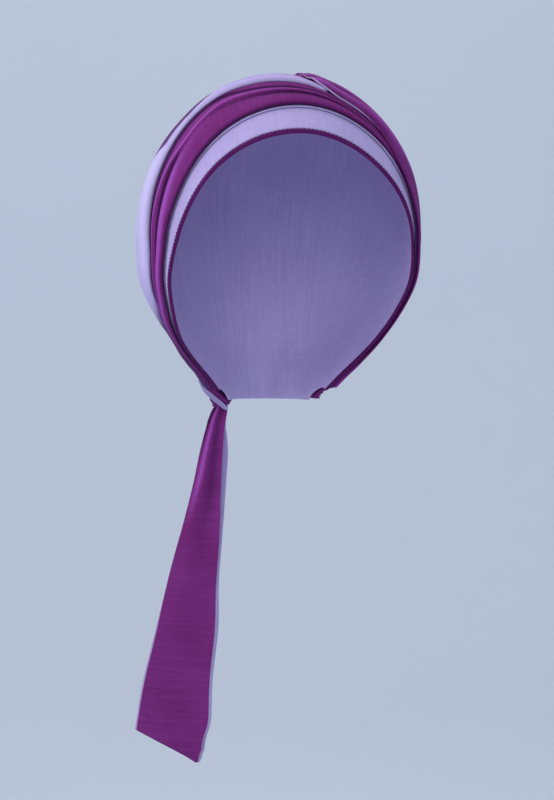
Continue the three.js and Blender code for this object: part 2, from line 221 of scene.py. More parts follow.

# Painted light on the turned lining: the share of its round rim where lavender starts, below which the rim is
# painted shade, the share of its width where lavender ends, past which it is painted dark purple both as shade and
# for the wrap's purple, and its painted highlight
TURN_TONES = table(
    "way inner outer rubbed",
    (0.07, 1.50, -0.20, 0.0),
    (0.19, 1.50, -0.20, 0.0),
    (0.22, 0.80, 1.20, 0.2),
    (0.25, 0.55, 1.20, 0.5),
    (0.31, 0.52, 1.20, 0.8),
    (0.345, 0.50, 1.00, 0.8),
    (0.365, 0.50, 0.02, 0.7),
    (0.410, 0.48, 0.02, 0.4),
    (0.435, 0.42, 0.60, 0.2),
    (0.45, 0.30, 1.20, 0.1),
    (0.49, 0.15, 1.20, 0.0),
    (0.54, 0.10, 1.20, 0.0),
)

# Ends of the wrap on their way into the knot, in millimetres from its middle
STRAND_OUTER = table(
    "along side rear up",
    (0.00, -17.5, -33.5, 9.5),
    (0.30, -12.0, -28.0, 3.0),
    (0.60, -4.0, -18.0, -3.0),
    (1.00, 3.0, -7.0, -6.5),
)
STRAND_LINING = table(
    "along side rear up",
    (0.00, -19.5, -31.0, 8.0),
    (0.25, -15.0, -27.0, 2.0),
    (0.55, -8.5, -20.5, -3.0),
    (0.80, -1.5, -13.0, -8.0),
    (1.00, 2.5, -7.0, -11.0),
)

# Tail sections: drop, middle, width, forward, fold, shift and space are shares of the tail's named sizes
TAIL_SECTIONS = table(
    "drop middle width forward fold shift space",
    (0.00, 0.00, 0.11, 0.00, 0.20, 0.0, 0.45),
    (0.05, 0.09, 0.23, 0.05, 0.50, 0.3, 0.80),
    (0.13, 0.18, 0.31, 0.13, 0.85, 1.0, 1.00),
    (0.23, 0.27, 0.38, 0.23, 0.85, 1.0, 1.00),
    (0.35, 0.39, 0.50, 0.36, 0.60, 0.8, 1.00),
    (0.52, 0.56, 0.68, 0.53, 0.40, 0.3, 0.90),
    (0.70, 0.72, 0.84, 0.71, 0.25, 0.1, 0.80),
    (0.85, 0.88, 0.93, 0.86, 0.20, 0.0, 0.70),
    (1.00, 1.00, 1.00, 1.00, 0.15, 0.0, 0.60),
)

# Ends of the winding, and the tilts of the lower edges at the back
FIRST_WAY, LAST_WAY = 0.07, 0.93
GATHER_WAY = 0.16
CAP_LOWER, CROWN_LOWER, BAND_LOWER = 178.0, 173.0, 176.0
CROWN_END, BAND_FOLD = 0.60, 0.00045
PLEATS, PLEAT_RUN = 5, 1.35
WAY_EVENNESS = 0.62
HALVINGS = 34

# Steps of a wall's round rim and the cloth UV that each takes up, and sides of a gathered section
RIM_STEPS, RIM_CLOTH = 4, 0.0004
SECTION_SIDES = 40

# Points of each piece's grid, along it and across it
CAP_GRID, BINDING_GRID, HEM_GRID, BROW_GRID, TUCK_ROWS = (181, 121), (361, 9), (401, 4), (361, 120), 10
CROWN_GRID, PANEL_GRID, TURN_GRID, NAPE_GRID = (221, 161), (248, 151), (301, 45), (301, 61)
PIPING_GRID, STRAND_GRID, KNOT_GRID, KNOT_TURN_GRID, TAIL_GRID = (240, 12), 64, (61, 96), 120, (181, 61)

# Where the puckers die out along the way from each end, and how they turn with the tilt and the way
NEAR_GATHER, FAR_GATHER = (0.26, 0.08), (0.74, 0.92)
PUCKER_RATE, PUCKER_SLANT = 17, 5

# Ways over which the crown's cloth sinks and rises again, and the degrees behind its front
SINK_STARTS, SINK_ENDS, SINK_BEHIND = (0.41, 0.445), (0.66, 0.60), (2.2, 4.2)

# Painted shade in creases and painted highlight on ridges, from the height: grid steps round it, depth of the
# darkest crease, and the most highlight on a ridge
RELIEF_REACH, RELIEF_DEPTH, RELIEF_TOP = 6, 0.0009, 0.6

# Turned lining: where it ends, the run of its taper and its least share, its narrow waist (middle and width as
# ways, and degrees lost), and the strength and slant of the painted shade of a crease near its end
TURN_END, TURN_TAPER, TURN_TIP = 0.531, 0.05, 0.003
TURN_WAIST, WAIST_TILT = (0.39, 0.035), 1.8
TURN_CREASE_SHADE, TURN_CREASE_SLANT = 0.45, 6

# Crossing panel: columns of its grid where their spacing changes, the middle two's ways, and its start's inset
PANEL_COLUMNS, PANEL_STOPS, PANEL_INSET = (0, 69, 158, 247), (0.495, 0.60), 0.002
# Its edge: ways over which its front comes down to the hem, and tilts where it joins the wrap's front
PANEL_STEPS, PANEL_LOWERS, PANEL_JOINS, PANEL_OVER_HEM = 400, (0.575, 0.635), (64, 60), 0.5
# Its lift: ways over which it settles, degrees behind the lining's tip, ways over which the tip ends, then the
# rest along its edge, as the least and added width in degrees, the ways of the added one, and the share lost
PANEL_SETTLES, TIP_BEHIND, TIP_ENDS = (0.67, 0.60), (5, 1), (0.545, 0.525)
REST_WIDTHS, REST_WIDENS, REST_SHARE = (2.4, 6), (0.530, 0.515), 0.65

# Piping on the panel's edge: its ways, the shares of its run where it swells and thins, its level and its painted
# shade
PIPING_RUN, PIPING_STARTS, PIPING_ENDS, PIPING_LEAST = (0.512, 0.586), (0, 0.12), (1.0, 0.65), 0.08
PIPING_LEVEL, PIPING_SHADE = 0.55, -0.2

# Thickness of the binding's edges as a share of its middle's
BINDING_EDGE = 0.86

# Stitches along the binding's seam, with their level as a share of its thickness
STITCH_PITCH, STITCH_SHARE, STITCH_RADIUS, STITCH_INSET = 0.0026, 0.62, 0.00022, 0.0006
STITCH_STEPS, STITCH_SIDES, STITCH_LEVEL, STITCH_END = 6, 6, 0.93, 0.12

# Knot: pleats round it, their twist and depth, the dent, and the lean and set of the turn round it
KNOT_PLEATS, KNOT_TWIST, KNOT_PLEAT_DEPTH, KNOT_DENT = 7, 2.2, 0.11, 0.16
KNOT_LEAN, KNOT_SET_BACK = 0.0012, 0.0006
STRAND_OUT = (-0.72, -0.62, -0.30)
# Painted light of the strands' pleats: shade where a pleat dips below its level, and its contrast
STRAND_PLEAT_LEVEL, STRAND_SHADE_CONTRAST = 0.95, 1.6

# Small forms of a tail: flare at the knot, turned-back margin, ripple, wave of the edge and rounded corner
TAIL_FLARE, TAIL_MARGIN, TAIL_RIPPLE, TAIL_WAVE = 0.08, 0.0036, 0.0007, 0.0006
TAIL_CORNER_IN, TAIL_CORNER_UP = 0.0030, 0.0125
# Painted light on a tail: highlight on the ridge, shade in the hollow and the valley, and shade at its top
RIDGE_HIGHLIGHT, HOLLOW_SHADE, VALLEY_SHADE, ROOT_SHADE = 0.75, 0.95, 0.30, 0.5

# Finish of the jersey, and how far a tone above zero takes its colour to the highlit one as painted highlight,
# and one below zero to the shaded one as painted shade
SHINE, SHEEN_ROUGHNESS = 0.03, 0.45
HIGHLIGHT_SHARE, SHADE_SHARE = 0.75, 0.92

# Studio: backdrop, lights by name, place, aim, size, power and colour, sky and camera
FLOOR_LEVEL, FLOOR_RADIUS, WALL_BEND, WALL_TOP = -0.80, 2.0, 0.8, 2.6
SCARF_AIM, WALL_AIM = (0.0, 0.0, -0.20), (0.0, 2.6, -0.20)
LIGHTS = (
    ("window_light", (-1.75, -0.55, 0.55), SCARF_AIM, 1.2, 20, (1.0, 0.98, 0.98)),
    ("front_light", (-0.35, -2.0, 0.55), SCARF_AIM, 1.4, 17, (0.97, 0.98, 1.0)),
    ("fill_light", (1.75, -0.70, -0.05), SCARF_AIM, 1.4, 5, (0.90, 0.95, 1.0)),
    ("top_light", (0.10, 0.35, 1.30), SCARF_AIM, 1.3, 8, (1.0, 1.0, 1.0)),
    ("back_light", (0.5, 1.8, 0.60), SCARF_AIM, 1.4, 5, (0.97, 0.98, 1.0)),
    ("wall_light", (0.0, 1.10, 1.90), WALL_AIM, 2.4, 24, (0.96, 0.98, 1.0)),
)
SKY_COLOUR, SKY_STRENGTH = (0.72, 0.80, 0.92, 1), 0.17
CAMERA_TURN, CAMERA_LENS = math.radians(-10), 79.7
CAMERA_DISTANCE, CAMERA_LEVEL, CAMERA_ASIDE = 1.70, -0.2032, -0.00384


def length(name, description, default):
    """A size that a user may change, in metres."""
    return FloatProperty(
        name=name, description=description, default=default, unit="LENGTH", subtype="DISTANCE", precision=4
    )


def colour(name, description, default):
    """A colour that a user may change, in linear light."""
    return FloatVectorProperty(
        name=name, description=description, default=default, size=3, min=0, max=1, subtype="COLOR"
    )


def linear(red, green, blue):
    """Linear light of a screen colour whose channels run from 0 to 255."""
    return tuple((c / 255 / 12.92) if c < 10.3 else ((c / 255 + 0.055) / 1.055) ** 2.4 for c in (red, green, blue))


class HeadscarfSizes(bpy.types.PropertyGroup):
    """Sizes of the cloth and of the form that it fits"""

    form_breadth: length("Form breadth", "Widest part of the form inside", 0.164)
    form_length: length("Form length", "Brow to back of the form inside", 0.194)
    crown_height: length("Crown height", "Top of the form above its widest level", 0.100)
    nape_drop: length("Nape drop", "Gathered nape below the widest level", 0.103)
    nape_back: length("Nape back", "Gathered nape behind the middle of the form", 0.046)
    nape_side: length("Nape side", "Gathered nape off the middle of the form", -0.002)
    jersey: length("Jersey", "Thickness of a layer of cloth", 0.0014)
    layer_gap: length("Layer gap", "Air between two layers of cloth", 0.0004)
    piece_gap: length("Piece gap", "Air between two pieces side by side", 0.00035)
    binding_width: length("Binding width", "Width of the face opening's binding", 0.0032)
    binding_thickness: length("Binding thickness", "Thickness of the face opening's binding", 0.0017)
    hem_width: length("Hem width", "Width of the brow's turned hem", 0.0014)
    piping_width: length("Piping width", "Width of the line of lining on the panel's edge", 0.0010)
    tuck: length("Tuck", "Cloth of the brow hidden under the layer above it", 0.009)
    fold_rise: length("Fold rise", "Height of the brow's folds", 0.0042)
    roll_rise: length("Roll rise", "Height of the roll behind the turned lining", 0.0032)
    roll_width: length("Roll width", "Width of the roll behind the turned lining", 0.024)
    turn_rise: length("Turn rise", "Height of the turned lining's own crown", 0.0012)
    turn_rim: length("Turn rim", "Depth of the turned lining's rounded front", 0.0034)
    side_lift: length("Side lift", "How far the wrap stands off at one side", 0.0036)
    sink: length("Sink", "How far the crown's cloth settles over the top", 0.0019)
    pleat_rise: length("Pleat rise", "Height of the pleats behind", 0.0022)
    drape_rise: length("Drape rise", "Height of the soft drapes over the crown", 0.0009)
    pucker_rise: length("Pucker rise", "Height of the puckers where the cloth is gathered", 0.0010)
    tail_length: length("Tail length", "Knot to the tail's upper corner", 0.2077)
    tail_width: length("Tail width", "Width of a tail at its end", 0.047)
    tail_swing: length("Tail swing", "How far a tail hangs out to the side", 0.039)
    tail_forward: length("Tail forward", "How far a tail's end hangs in front of the knot", 0.046)
    tail_slant: length("Tail slant", "Slant of a tail's end", 0.0252)
    tail_ply: length("Tail ply", "Thickness of each cloth of a tail", 0.001)
    tail_lip: length("Tail lip", "Lining that shows along a tail's edge", 0.001)
    tail_trim: length("Tail trim", "How far the outer cloth stops short of the lining low down", 0.0018)
    tail_fold: length("Tail fold", "Depth of the fold down a tail", 0.003)
    tail_space: length("Tail space", "Distance between the two tails", 0.007)
    tail_shift: length("Tail shift", "How far the rear tail lies to the side", 0.0045)


class HeadscarfColours(bpy.types.PropertyGroup):
    """Colours of the cloth and of the studio"""

    purple: colour("Purple", "Outer side of the jersey", linear(113, 38, 107))
    # Shaded and highlit copies of the outer side: painted shade in its folds and painted highlight where lit, by
    # the tone; they also give its random grain and mottle, and the highlit one tints its sheen
    purple_shaded: colour("Deep purple", "Outer side in its folds", linear(36, 4, 46))
    purple_highlit: colour("Purple bloom", "Nap of the outer side where it is lit", linear(162, 84, 182))
    lavender: colour("Lavender", "Lining side of the jersey", linear(176, 162, 212))
    # Shaded and highlit copies of the lining side: painted shade in its folds and painted highlight where lit, by
    # the tone; they also give its random grain and mottle, and the highlit one tints its sheen
    lavender_shaded: colour("Deep lavender", "Lining side in its folds", linear(96, 78, 132))
    lavender_highlit: colour("Lavender bloom", "Nap of the lining side where it is lit", linear(212, 205, 246))
    binding: colour("Binding", "Binding of the face opening", linear(84, 26, 88))
    backdrop: colour("Backdrop", "Floor and wall of the studio", linear(208, 215, 226))


def smooth(start, end, value):
    """Smooth step: 3 t squared less 2 t cubed, where t runs from 0 at start to 1 at end, in either direction."""
    t = np.clip((value - start) / (end - start), 0, 1)
    return t * t * (3 - 2 * t)


def column(rows, key, at, name):
    """Smooth curve through one column of a table.

    Cubic Hermite spans whose slope at a row is the rise over the run between its two neighbours.
    """
    x = np.array([row[key] for row in rows], float)
    y = np.array([row[name] for row in rows], float)
    slope = np.empty_like(y)
    slope[1:-1] = (y[2:] - y[:-2]) / (x[2:] - x[:-2])
    slope[0] = (y[1] - y[0]) / (x[1] - x[0])
    slope[-1] = (y[-1] - y[-2]) / (x[-1] - x[-2])
    at = np.clip(at, x[0], x[-1])
    i = np.clip(np.searchsorted(x, at, side="right") - 1, 0, len(x) - 2)
    span = x[i + 1] - x[i]
    t = (at - x[i]) / span
    rest = 1 - t
    ends = rest**2 * (1 + 2 * t) * y[i] + t**2 * (3 - 2 * t) * y[i + 1]
    return ends + t * rest * span * (rest * slope[i] - t * slope[i + 1])


LEVEL_DROPS = np.linspace(0, LEVELS[-1]["drop"], 1801)
LEVEL_SHARES = {name: column(LEVELS, "drop", LEVEL_DROPS, name) for name in ("breadth", "front", "rear")}


def nape(s):
    """Point that every ray of the chart starts from."""
    return np.array([s.nape_side, s.nape_back, -s.crown_height - s.nape_drop])


def crown_middle(s):
    """Middle of the form at its widest level."""
    return np.array([0, 0, -s.crown_height])


def outside(s, points, grow):
    """Above zero outside the form: x over half the breadth, y over the reach and z over the crown, squared."""
    above = points[..., 2] + s.crown_height
    drop = np.maximum(-above / s.crown_height, 0)
    breadth = s.form_breadth / 2 * np.interp(drop, LEVEL_DROPS, LEVEL_SHARES["breadth"]) + grow
    front = np.interp(drop, LEVEL_DROPS, LEVEL_SHARES["front"])
    rear = np.interp(drop, LEVEL_DROPS, LEVEL_SHARES["rear"])
    reach = s.form_length / 2 * np.where(points[..., 1] < 0, front, rear) + grow
    high = np.maximum(above, 0) / (s.crown_height + grow)
    return (points[..., 0] / breadth) ** 2 + (points[..., 1] / reach) ** 2 + high**2 - 1


def on_form(s, way, tilt, grow):
    """Points where rays from the nape leave the form grown by a height, found by halving the ray."""
    way, tilt, grow = np.broadcast_arrays(way, tilt, grow)
    turn = way * np.pi
    lean = np.radians(tilt)
    ray = np.stack([-np.cos(turn), -np.sin(turn) * np.cos(lean), np.sin(turn) * np.sin(lean)], axis=-1)
    near = np.zeros(way.shape)
    far = np.full(way.shape, 2 * (s.form_length + s.crown_height))
    for _ in range(HALVINGS):
        middle = (near + far) / 2
        out = outside(s, nape(s) + ray * middle[..., None], grow) > 0
        far = np.where(out, middle, far)
        near = np.where(out, near, middle)
    return nape(s) + ray * far[..., None]


def edge(way, name):
    """Tilt of one of the winding's edges at a way."""
    return column(EDGES, "way", way, name)


def full(way, name):
    """How full one of the winding's swellings is at a way."""
    return column(FULLNESS, "way", way, name)


def tilt_of(s, size, way, tilt):
    """Degrees that a length takes up round the nape's axis: the length over its arm."""
    point = on_form(s, way, tilt, 0.0)
    arm = np.hypot(point[..., 1] - s.nape_back, point[..., 2] - nape(s)[2])
    return np.degrees(size / arm)


def gathered(size, way):
    """A strip's width, which narrows as the sine of the way where the cloth is gathered at the nape."""
    return size * np.minimum(1, np.sin(way * np.pi) / math.sin(GATHER_WAY * np.pi))


def ways(count, first=FIRST_WAY, last=LAST_WAY):
    """Ways from first to last, closer together over the middle: a mix of a straight line and a cube."""
    t = np.linspace(-1, 1, count)
    return (first + last) / 2 + (last - first) / 2 * (WAY_EVENNESS * t + (1 - WAY_EVENNESS) * t**3)


def brow_base(s):
    """Height of the brow's cloth off the form."""
    return s.binding_thickness + s.layer_gap


def crown_base(s):
    """Height of the crown's cloth off the form."""
    return brow_base(s) + s.jersey + s.layer_gap


def drapes(s, way, share):
    """Soft drapes: squared sines that run slanting over the crown and die out at its front and its nape."""
    total = np.zeros(np.broadcast(way, share).shape)
    for row in DRAPES:
        wave = np.sin(np.pi * (row["cycles"] * share + row["slant"] * way + row["phase"])) ** 2
        total = total + row["share"] * wave
    return s.drape_rise * total * np.sin(np.pi * np.clip(share, 0, 1)) ** 0.8 * np.sin(np.pi * way) ** 2


def puckers(s, way, tilt):
    """Puckers that fan out from the two gathered ends: a squared sine of the tilt that dies out along the way."""
    near = smooth(*NEAR_GATHER, way) + smooth(*FAR_GATHER, way)
    return s.pucker_rise * near * np.sin(np.radians(tilt) * PUCKER_RATE + PUCKER_SLANT * way) ** 2


def sink(s, way, tilt):
    """How far the crown's cloth settles over the top, behind the tucked brow: a smooth step each way."""
    behind = edge(way, "cover")
    over_top = smooth(*SINK_STARTS, way) * smooth(*SINK_ENDS, way)
    return s.sink * over_top * smooth(behind + SINK_BEHIND[0], behind + SINK_BEHIND[1], tilt)


def crown_height(s, way, tilt):
    """Height of the crown's cloth.

    Its base, the side's lift, the roll, the pleats, the drapes and the puckers, less what it sinks.
    """
    front = edge(way, "cover")
    share = np.clip((tilt - front) / (CROWN_LOWER - front), 0, 1)
    free = np.sin(np.pi * np.minimum(share * PLEAT_RUN, 1)) ** 2 * np.sin(np.pi * way) ** 2
    pleat = (0.5 - 0.5 * np.cos(2 * np.pi * PLEATS * share)) ** 0.7
    turn = edge(way, "turn")
    past = np.clip((tilt - turn) / tilt_of(s, s.roll_width, way, turn), 0, 1)
    side = s.side_lift * full(way, "lift") * (1 - share)
    roll = s.roll_rise * full(way, "roll") * np.sin(np.pi * past) ** 2
    pleats = s.pleat_rise * pleat * free
    soft = drapes(s, way, share) + puckers(s, way, tilt) - sink(s, way, tilt)
    return crown_base(s) + side + roll + pleats + soft


def brow_height(s, way, share):
    """Height of the brow's cloth over its run from the hem: smooth steps between the lines of its folds."""
    lines = [column(FOLD_LINES, "way", way, name) for name in FOLD_NAMES]
    rises = [column(FOLD_HEIGHTS, "way", way, name) for name in FOLD_NAMES]
    lines = [np.zeros_like(way), *lines, np.ones_like(way)]
    rises = [np.full_like(way, HEM_SHARE), *rises, np.zeros_like(way)]
    height = np.zeros(np.broadcast(way, share).shape)
    for start, end, low, high in zip(lines, lines[1:], rises, rises[1:]):
        inside = (share >= start) & (share <= end)
        height = np.where(inside, low + (high - low) * smooth(start, end, share), height)
    gathers = BROW_PUCKERS * puckers(s, way, share * BROW_SPREAD)
    return brow_base(s) + s.fold_rise * full(way, "rise") * height + gathers


def brow_painted_light(way, share):
    """Painted light on the brow's cloth: bells along the lines of its folds, highlight on ridges, shade in
    hollows.
    """
    tone = -HEM_SHADOW * bell(share, 0, HEM_SHADOW_WIDTH)
    for name, width in FOLD_WIDTHS.items():
        line = 1.0 if name == "contact" else column(FOLD_LINES, "way", way, name)
        sign = 1 if name in ("second", "sharp") else -1
        tone = tone + sign * column(FOLD_PAINTED_LIGHT, "way", way, name) * bell(share, line, width)
    return np.clip(BROW_CONTRAST * tone, -1, 1)


def soften(values, reach):
    """Running mean of a grid over reach rows and columns each way, with its edges repeated."""
    for axis in (0, 1):
        pad = [(reach, reach) if a == axis else (0, 0) for a in (0, 1)]
        total = np.cumsum(np.pad(values, pad, mode="edge"), axis=axis)
        first = np.zeros_like(np.take(total, [0], axis=axis))
        total = np.concatenate([first, total], axis=axis)
        count = values.shape[axis]
        wide = 2 * reach + 1
        high = np.take(total, np.arange(wide, wide + count), axis=axis)
        values = (high - np.take(total, np.arange(count), axis=axis)) / wide
    return values


def height_shading(height):
    """Painted light from a cloth's height: highlight where it stands over the mean round it, shade in its creases.
    """
    return np.clip((height - soften(height, RELIEF_REACH)) / RELIEF_DEPTH, -1, RELIEF_TOP)


def bell(value, middle, width):
    """Bell curve: e to the power of minus the square of the distance from the middle over the width."""
    return np.exp(-(((value - middle) / width) ** 2))


def unit(vectors):
    """Vectors brought to a length of one."""
    return vectors / np.linalg.norm(vectors, axis=-1, keepdims=True)


def turns(count):
    """Angles of a full turn in count even steps."""
    return np.arange(count) / count * 2 * np.pi


def squared(path, out):
    """Directions out of a path and across it.

    Out loses its share along the path's run, so that it stands square to it. Across is their cross product.
    """
    on = unit(np.gradient(path, axis=0))
    out = unit(out - on * np.sum(out * on, axis=-1, keepdims=True))
    return out, np.cross(on, out)


def swept(path, across, out, wide, high, swell):
    """Section carried along a path.

    The path's point, plus across times the section's width and out times its height, both times the swell.
    """
    section = across[..., None, :] * wide[:, None] + out[..., None, :] * high[:, None]
    return path[..., None, :] + section * swell[..., None, None]


def pleated(wide, thick, power, depth, pleats, covers=lambda turn: 1):
    """Width, height and pleats of a flat round section.

    The width is the cosine of the turn, squared off by a power. The height is the turn's sine, less a share of
    the squared cosine of the width at each pleat, where the pleats cover the section.
    """
    turn = turns(SECTION_SIDES)
    flat = np.sign(np.cos(turn)) * np.abs(np.cos(turn)) ** power
    pleat = 1 - depth * np.cos(pleats * np.pi * flat) ** 2 * covers(turn)
    return flat * wide / 2, np.sin(turn) * pleat * thick / 2, pleat


def grid_quads(rows, columns, rows_close=False, columns_close=False):
    """Faces of a grid: each point, the next one in its row, and the two below them. A closed side runs round."""
    r = np.arange(rows if rows_close else rows - 1)[:, None]
    c = np.arange(columns if columns_close else columns - 1)[None, :]
    down, on = (r + 1) % rows * columns, (c + 1) % columns
    return np.stack([r * columns + c, r * columns + on, down + on, down + c], -1).reshape(-1, 4)


def spans(grid, axis):
    """Distance along a grid from its first row or column, summed step by step."""
    steps = np.linalg.norm(np.diff(grid, axis=axis), axis=-1)
    total = np.cumsum(steps, axis=axis)
    return np.concatenate([np.zeros_like(np.take(total, [0], axis=axis)), total], axis=axis)


def rim(outer, inner, beyond):
    """Half round that joins two edges of a wall.

    Middle of the wall, plus the cosine of the turn times half the wall, plus its sine times as much outwards.
    """
    middle = (outer + inner) / 2
    half = (outer - inner) / 2
    size = np.linalg.norm(half, axis=-1, keepdims=True)
    away = beyond / np.maximum(np.linalg.norm(beyond, axis=-1, keepdims=True), 1e-9)
    turn = (np.arange(RIM_STEPS) + 1)[:, None, None] / (RIM_STEPS + 1) * np.pi
    return middle + np.cos(turn) * half + np.sin(turn) * size * away


def shell(outer, inner, shade, rim_shade=None):
    """Closed wall between two grids, with round rims along its first and last rows and flat ends.

    The rows run over the outside, round the far rim, back over the inside and round the near rim.
    """

    def round_trip(grid, near, far):
        return np.concatenate([grid, far, grid[::-1], near])

    rows, columns = outer.shape[:2]
    far = rim(outer[-1], inner[-1], outer[-1] - outer[-2])
    near = rim(inner[0], outer[0], outer[0] - outer[1])
    ring = np.concatenate([outer, far, inner[::-1], near])
    u = spans(outer, 1)
    u = u - u[:, [columns // 2]]
    v = spans(outer, 0)
    steps = np.arange(RIM_STEPS)
    bump = np.minimum(steps, steps[::-1])[:, None] * RIM_CLOTH
    held = np.zeros((RIM_STEPS, 1))
    ring_u = round_trip(u, u[[0]] + held, u[[-1]] + held)
    ring_v = round_trip(v, v[[0]] - bump, v[[-1]] + bump)
    near_shade = shade[[0]] + held if rim_shade is None else rim_shade
    ring_shade = round_trip(shade, near_shade, shade[[-1]] + held)
    total = len(ring)
    half = RIM_STEPS // 2
    top = np.concatenate([np.arange(total - half, total), np.arange(rows + half)])
    bottom = np.concatenate([np.arange(total - half)[::-1][:half], np.arange(rows)[::-1] + rows + RIM_STEPS])
    bottom = np.concatenate([bottom, np.arange(rows + half, rows + RIM_STEPS)[::-1]])
    ends = []
    for side, turned in ((0, False), (columns - 1, True)):
        a, b = top * columns + side, bottom * columns + side
        cap = np.stack([a[:-1], a[1:], b[1:], b[:-1]], axis=-1)
        ends.append(cap[:, ::-1] if turned else cap)
    faces = np.concatenate([grid_quads(total, columns, rows_close=True), *ends])
    return ring.reshape(-1, 3), faces, np.stack([ring_u.ravel(), ring_v.ravel()], -1), ring_shade.ravel()


def globe(grid):
    """Closed skin over a grid that runs round in its columns, with one point at each pole."""
    rows, columns = grid.shape[:2]
    poles = np.stack([grid[0].mean(0), grid[-1].mean(0)])
    body = grid[1:-1].reshape(-1, 3)
    here = np.arange(columns)
    after = (here + 1) % columns
    last = (rows - 3) * columns
    first_fan = np.stack([after, here, np.full(columns, len(body))], -1)
    last_fan = np.stack([last + here, last + after, np.full(columns, len(body) + 1)], -1)
    v = spans(grid, 0)
    u = np.concatenate([spans(grid, 1)[1:-1].ravel(), [0, 0]])
    v = np.concatenate([v[1:-1].ravel(), [0, v[-1].mean()]])
    faces = [grid_quads(rows - 2, columns, columns_close=True), first_fan, last_fan]
    return np.concatenate([body, poles]), faces, np.stack([u, v], -1)


def ring_of(grid):
    """Closed band over a grid that runs round in its rows and its columns."""
    uv = np.stack([spans(grid, 1).ravel(), spans(grid, 0).ravel()], -1)
    return grid.reshape(-1, 3), [grid_quads(*grid.shape[:2], rows_close=True, columns_close=True)], uv


def outward(points, faces):
    """Faces turned so that the volume that they close, a sum of corner products, is above zero."""
    volume = 0.0
    for block in faces:
        a, b, c = points[block[:, 0]], points[block[:, 1]], points[block[:, 2]]
        volume += np.einsum("ij,ij->i", a, np.cross(b, c)).sum()
        if block.shape[1] == 4:
            d = points[block[:, 3]]
            volume += np.einsum("ij,ij->i", a, np.cross(c, d)).sum()
    return faces if volume > 0 else [block[:, ::-1] for block in faces]


def make_piece(name, points, faces, uv, shade, material, nodes, slot):
    """Mesh object of one piece, with its cloth UV in metres and its tone of painted light, riding on the scarf."""
    mesh = bpy.data.meshes.new(name)
    faces = outward(points, faces if isinstance(faces, list) else [faces])
    corners = np.concatenate([block.ravel() for block in faces])
    counts = np.concatenate([np.full(len(block), block.shape[1]) for block in faces])
    mesh.vertices.add(len(points))
    mesh.vertices.foreach_set("co", points.astype(np.float32).ravel())
    mesh.loops.add(len(corners))
    mesh.loops.foreach_set("vertex_index", corners.astype(np.int32))
    mesh.polygons.add(len(counts))
    mesh.polygons.foreach_set("loop_start", np.concatenate([[0], np.cumsum(counts)[:-1]]).astype(np.int32))
    mesh.update(calc_edges=True)
    layer = mesh.uv_layers.new(name="cloth")
    layer.data.foreach_set("uv", uv[corners].astype(np.float32).ravel())
    tone = mesh.attributes.new("tone", "FLOAT", "POINT")
    tone.data.foreach_set("value", shade.astype(np.float32))
    mesh.shade_smooth()
    if mesh.validate():
        raise RuntimeError(f"{name}: its mesh had faults")
    piece = bpy.data.objects.new(name, mesh)
    bpy.context.scene.collection.objects.link(piece)
    mesh.materials.append(material)
    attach(piece, "root")
    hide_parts(*nodes)
    return piece


def layer(s, name, way, tilts, low, high, material, nodes, slot, shade=None, rim_shade=None):
    """Layer of cloth on the form between two heights over a grid of ways and tilts."""
    outer = on_form(s, way, tilts, high)
    inner = on_form(s, way, tilts, low)
    shade = np.zeros(outer.shape[:2]) if shade is None else shade
    return make_piece(name, *shell(outer, inner, shade, rim_shade), material, nodes, slot)


def rows_between(s, way, front, back, count, inset=0.5, spread=1.0):
    """Tilts from front to back in count rows, kept inside by the cloth's round rims."""
    rim_front = tilt_of(s, gathered(s.jersey * inset, way), way, front)
    rim_back = tilt_of(s, gathered(s.jersey * inset, way), way, back)
    share = np.linspace(0, 1, count)[:, None] ** spread
    return front + rim_front + (back - rim_back - front - rim_front) * share


def new_group(name, inputs, outputs):
    """Empty node group with its named sockets, and the sockets of its two ends."""
    group = bpy.data.node_groups.new(name, "ShaderNodeTree")
    for in_out, sockets in (("INPUT", inputs), ("OUTPUT", outputs)):
        for label, (kind, value) in sockets.items():
            made = group.interface.new_socket(name=label, in_out=in_out, socket_type=f"NodeSocket{kind}")
            if value is not None:
                made.default_value = value
    return group, group.nodes.new("NodeGroupInput").outputs, group.nodes.new("NodeGroupOutput").inputs


def fill(tree, node, values):
    """Node with its inputs set to values or joined to sockets."""
    for key, value in values.items():
        if isinstance(value, bpy.types.NodeSocket):
            tree.links.new(value, node.inputs[key])
        else:
            node.inputs[key].default_value = value
    return node


def put(tree, kind, values=None, **settings):
    """New node with its settings and its inputs."""
    made = tree.nodes.new(kind)
    for name, value in settings.items():
        setattr(made, name, value)
    return fill(tree, made, values or {})


def maths(tree, operation, *values):
    """Result of a Math node."""
    return put(tree, "ShaderNodeMath", dict(enumerate(values)), operation=operation).outputs[0]


def mixed(tree, factor, first, second):
    """Colour between two colours, from a Mix node."""
    return put(tree, "ShaderNodeMix", {0: factor, 6: first, 7: second}, data_type="RGBA").outputs[2]


def ranged(tree, value, start, end, low, high):
    """Result of a Map Range node: low where the value is at start, and high where it is at end."""
    return put(tree, "ShaderNodeMapRange", {0: value, 1: start, 2: end, 3: low, 4: high}).outputs[0]


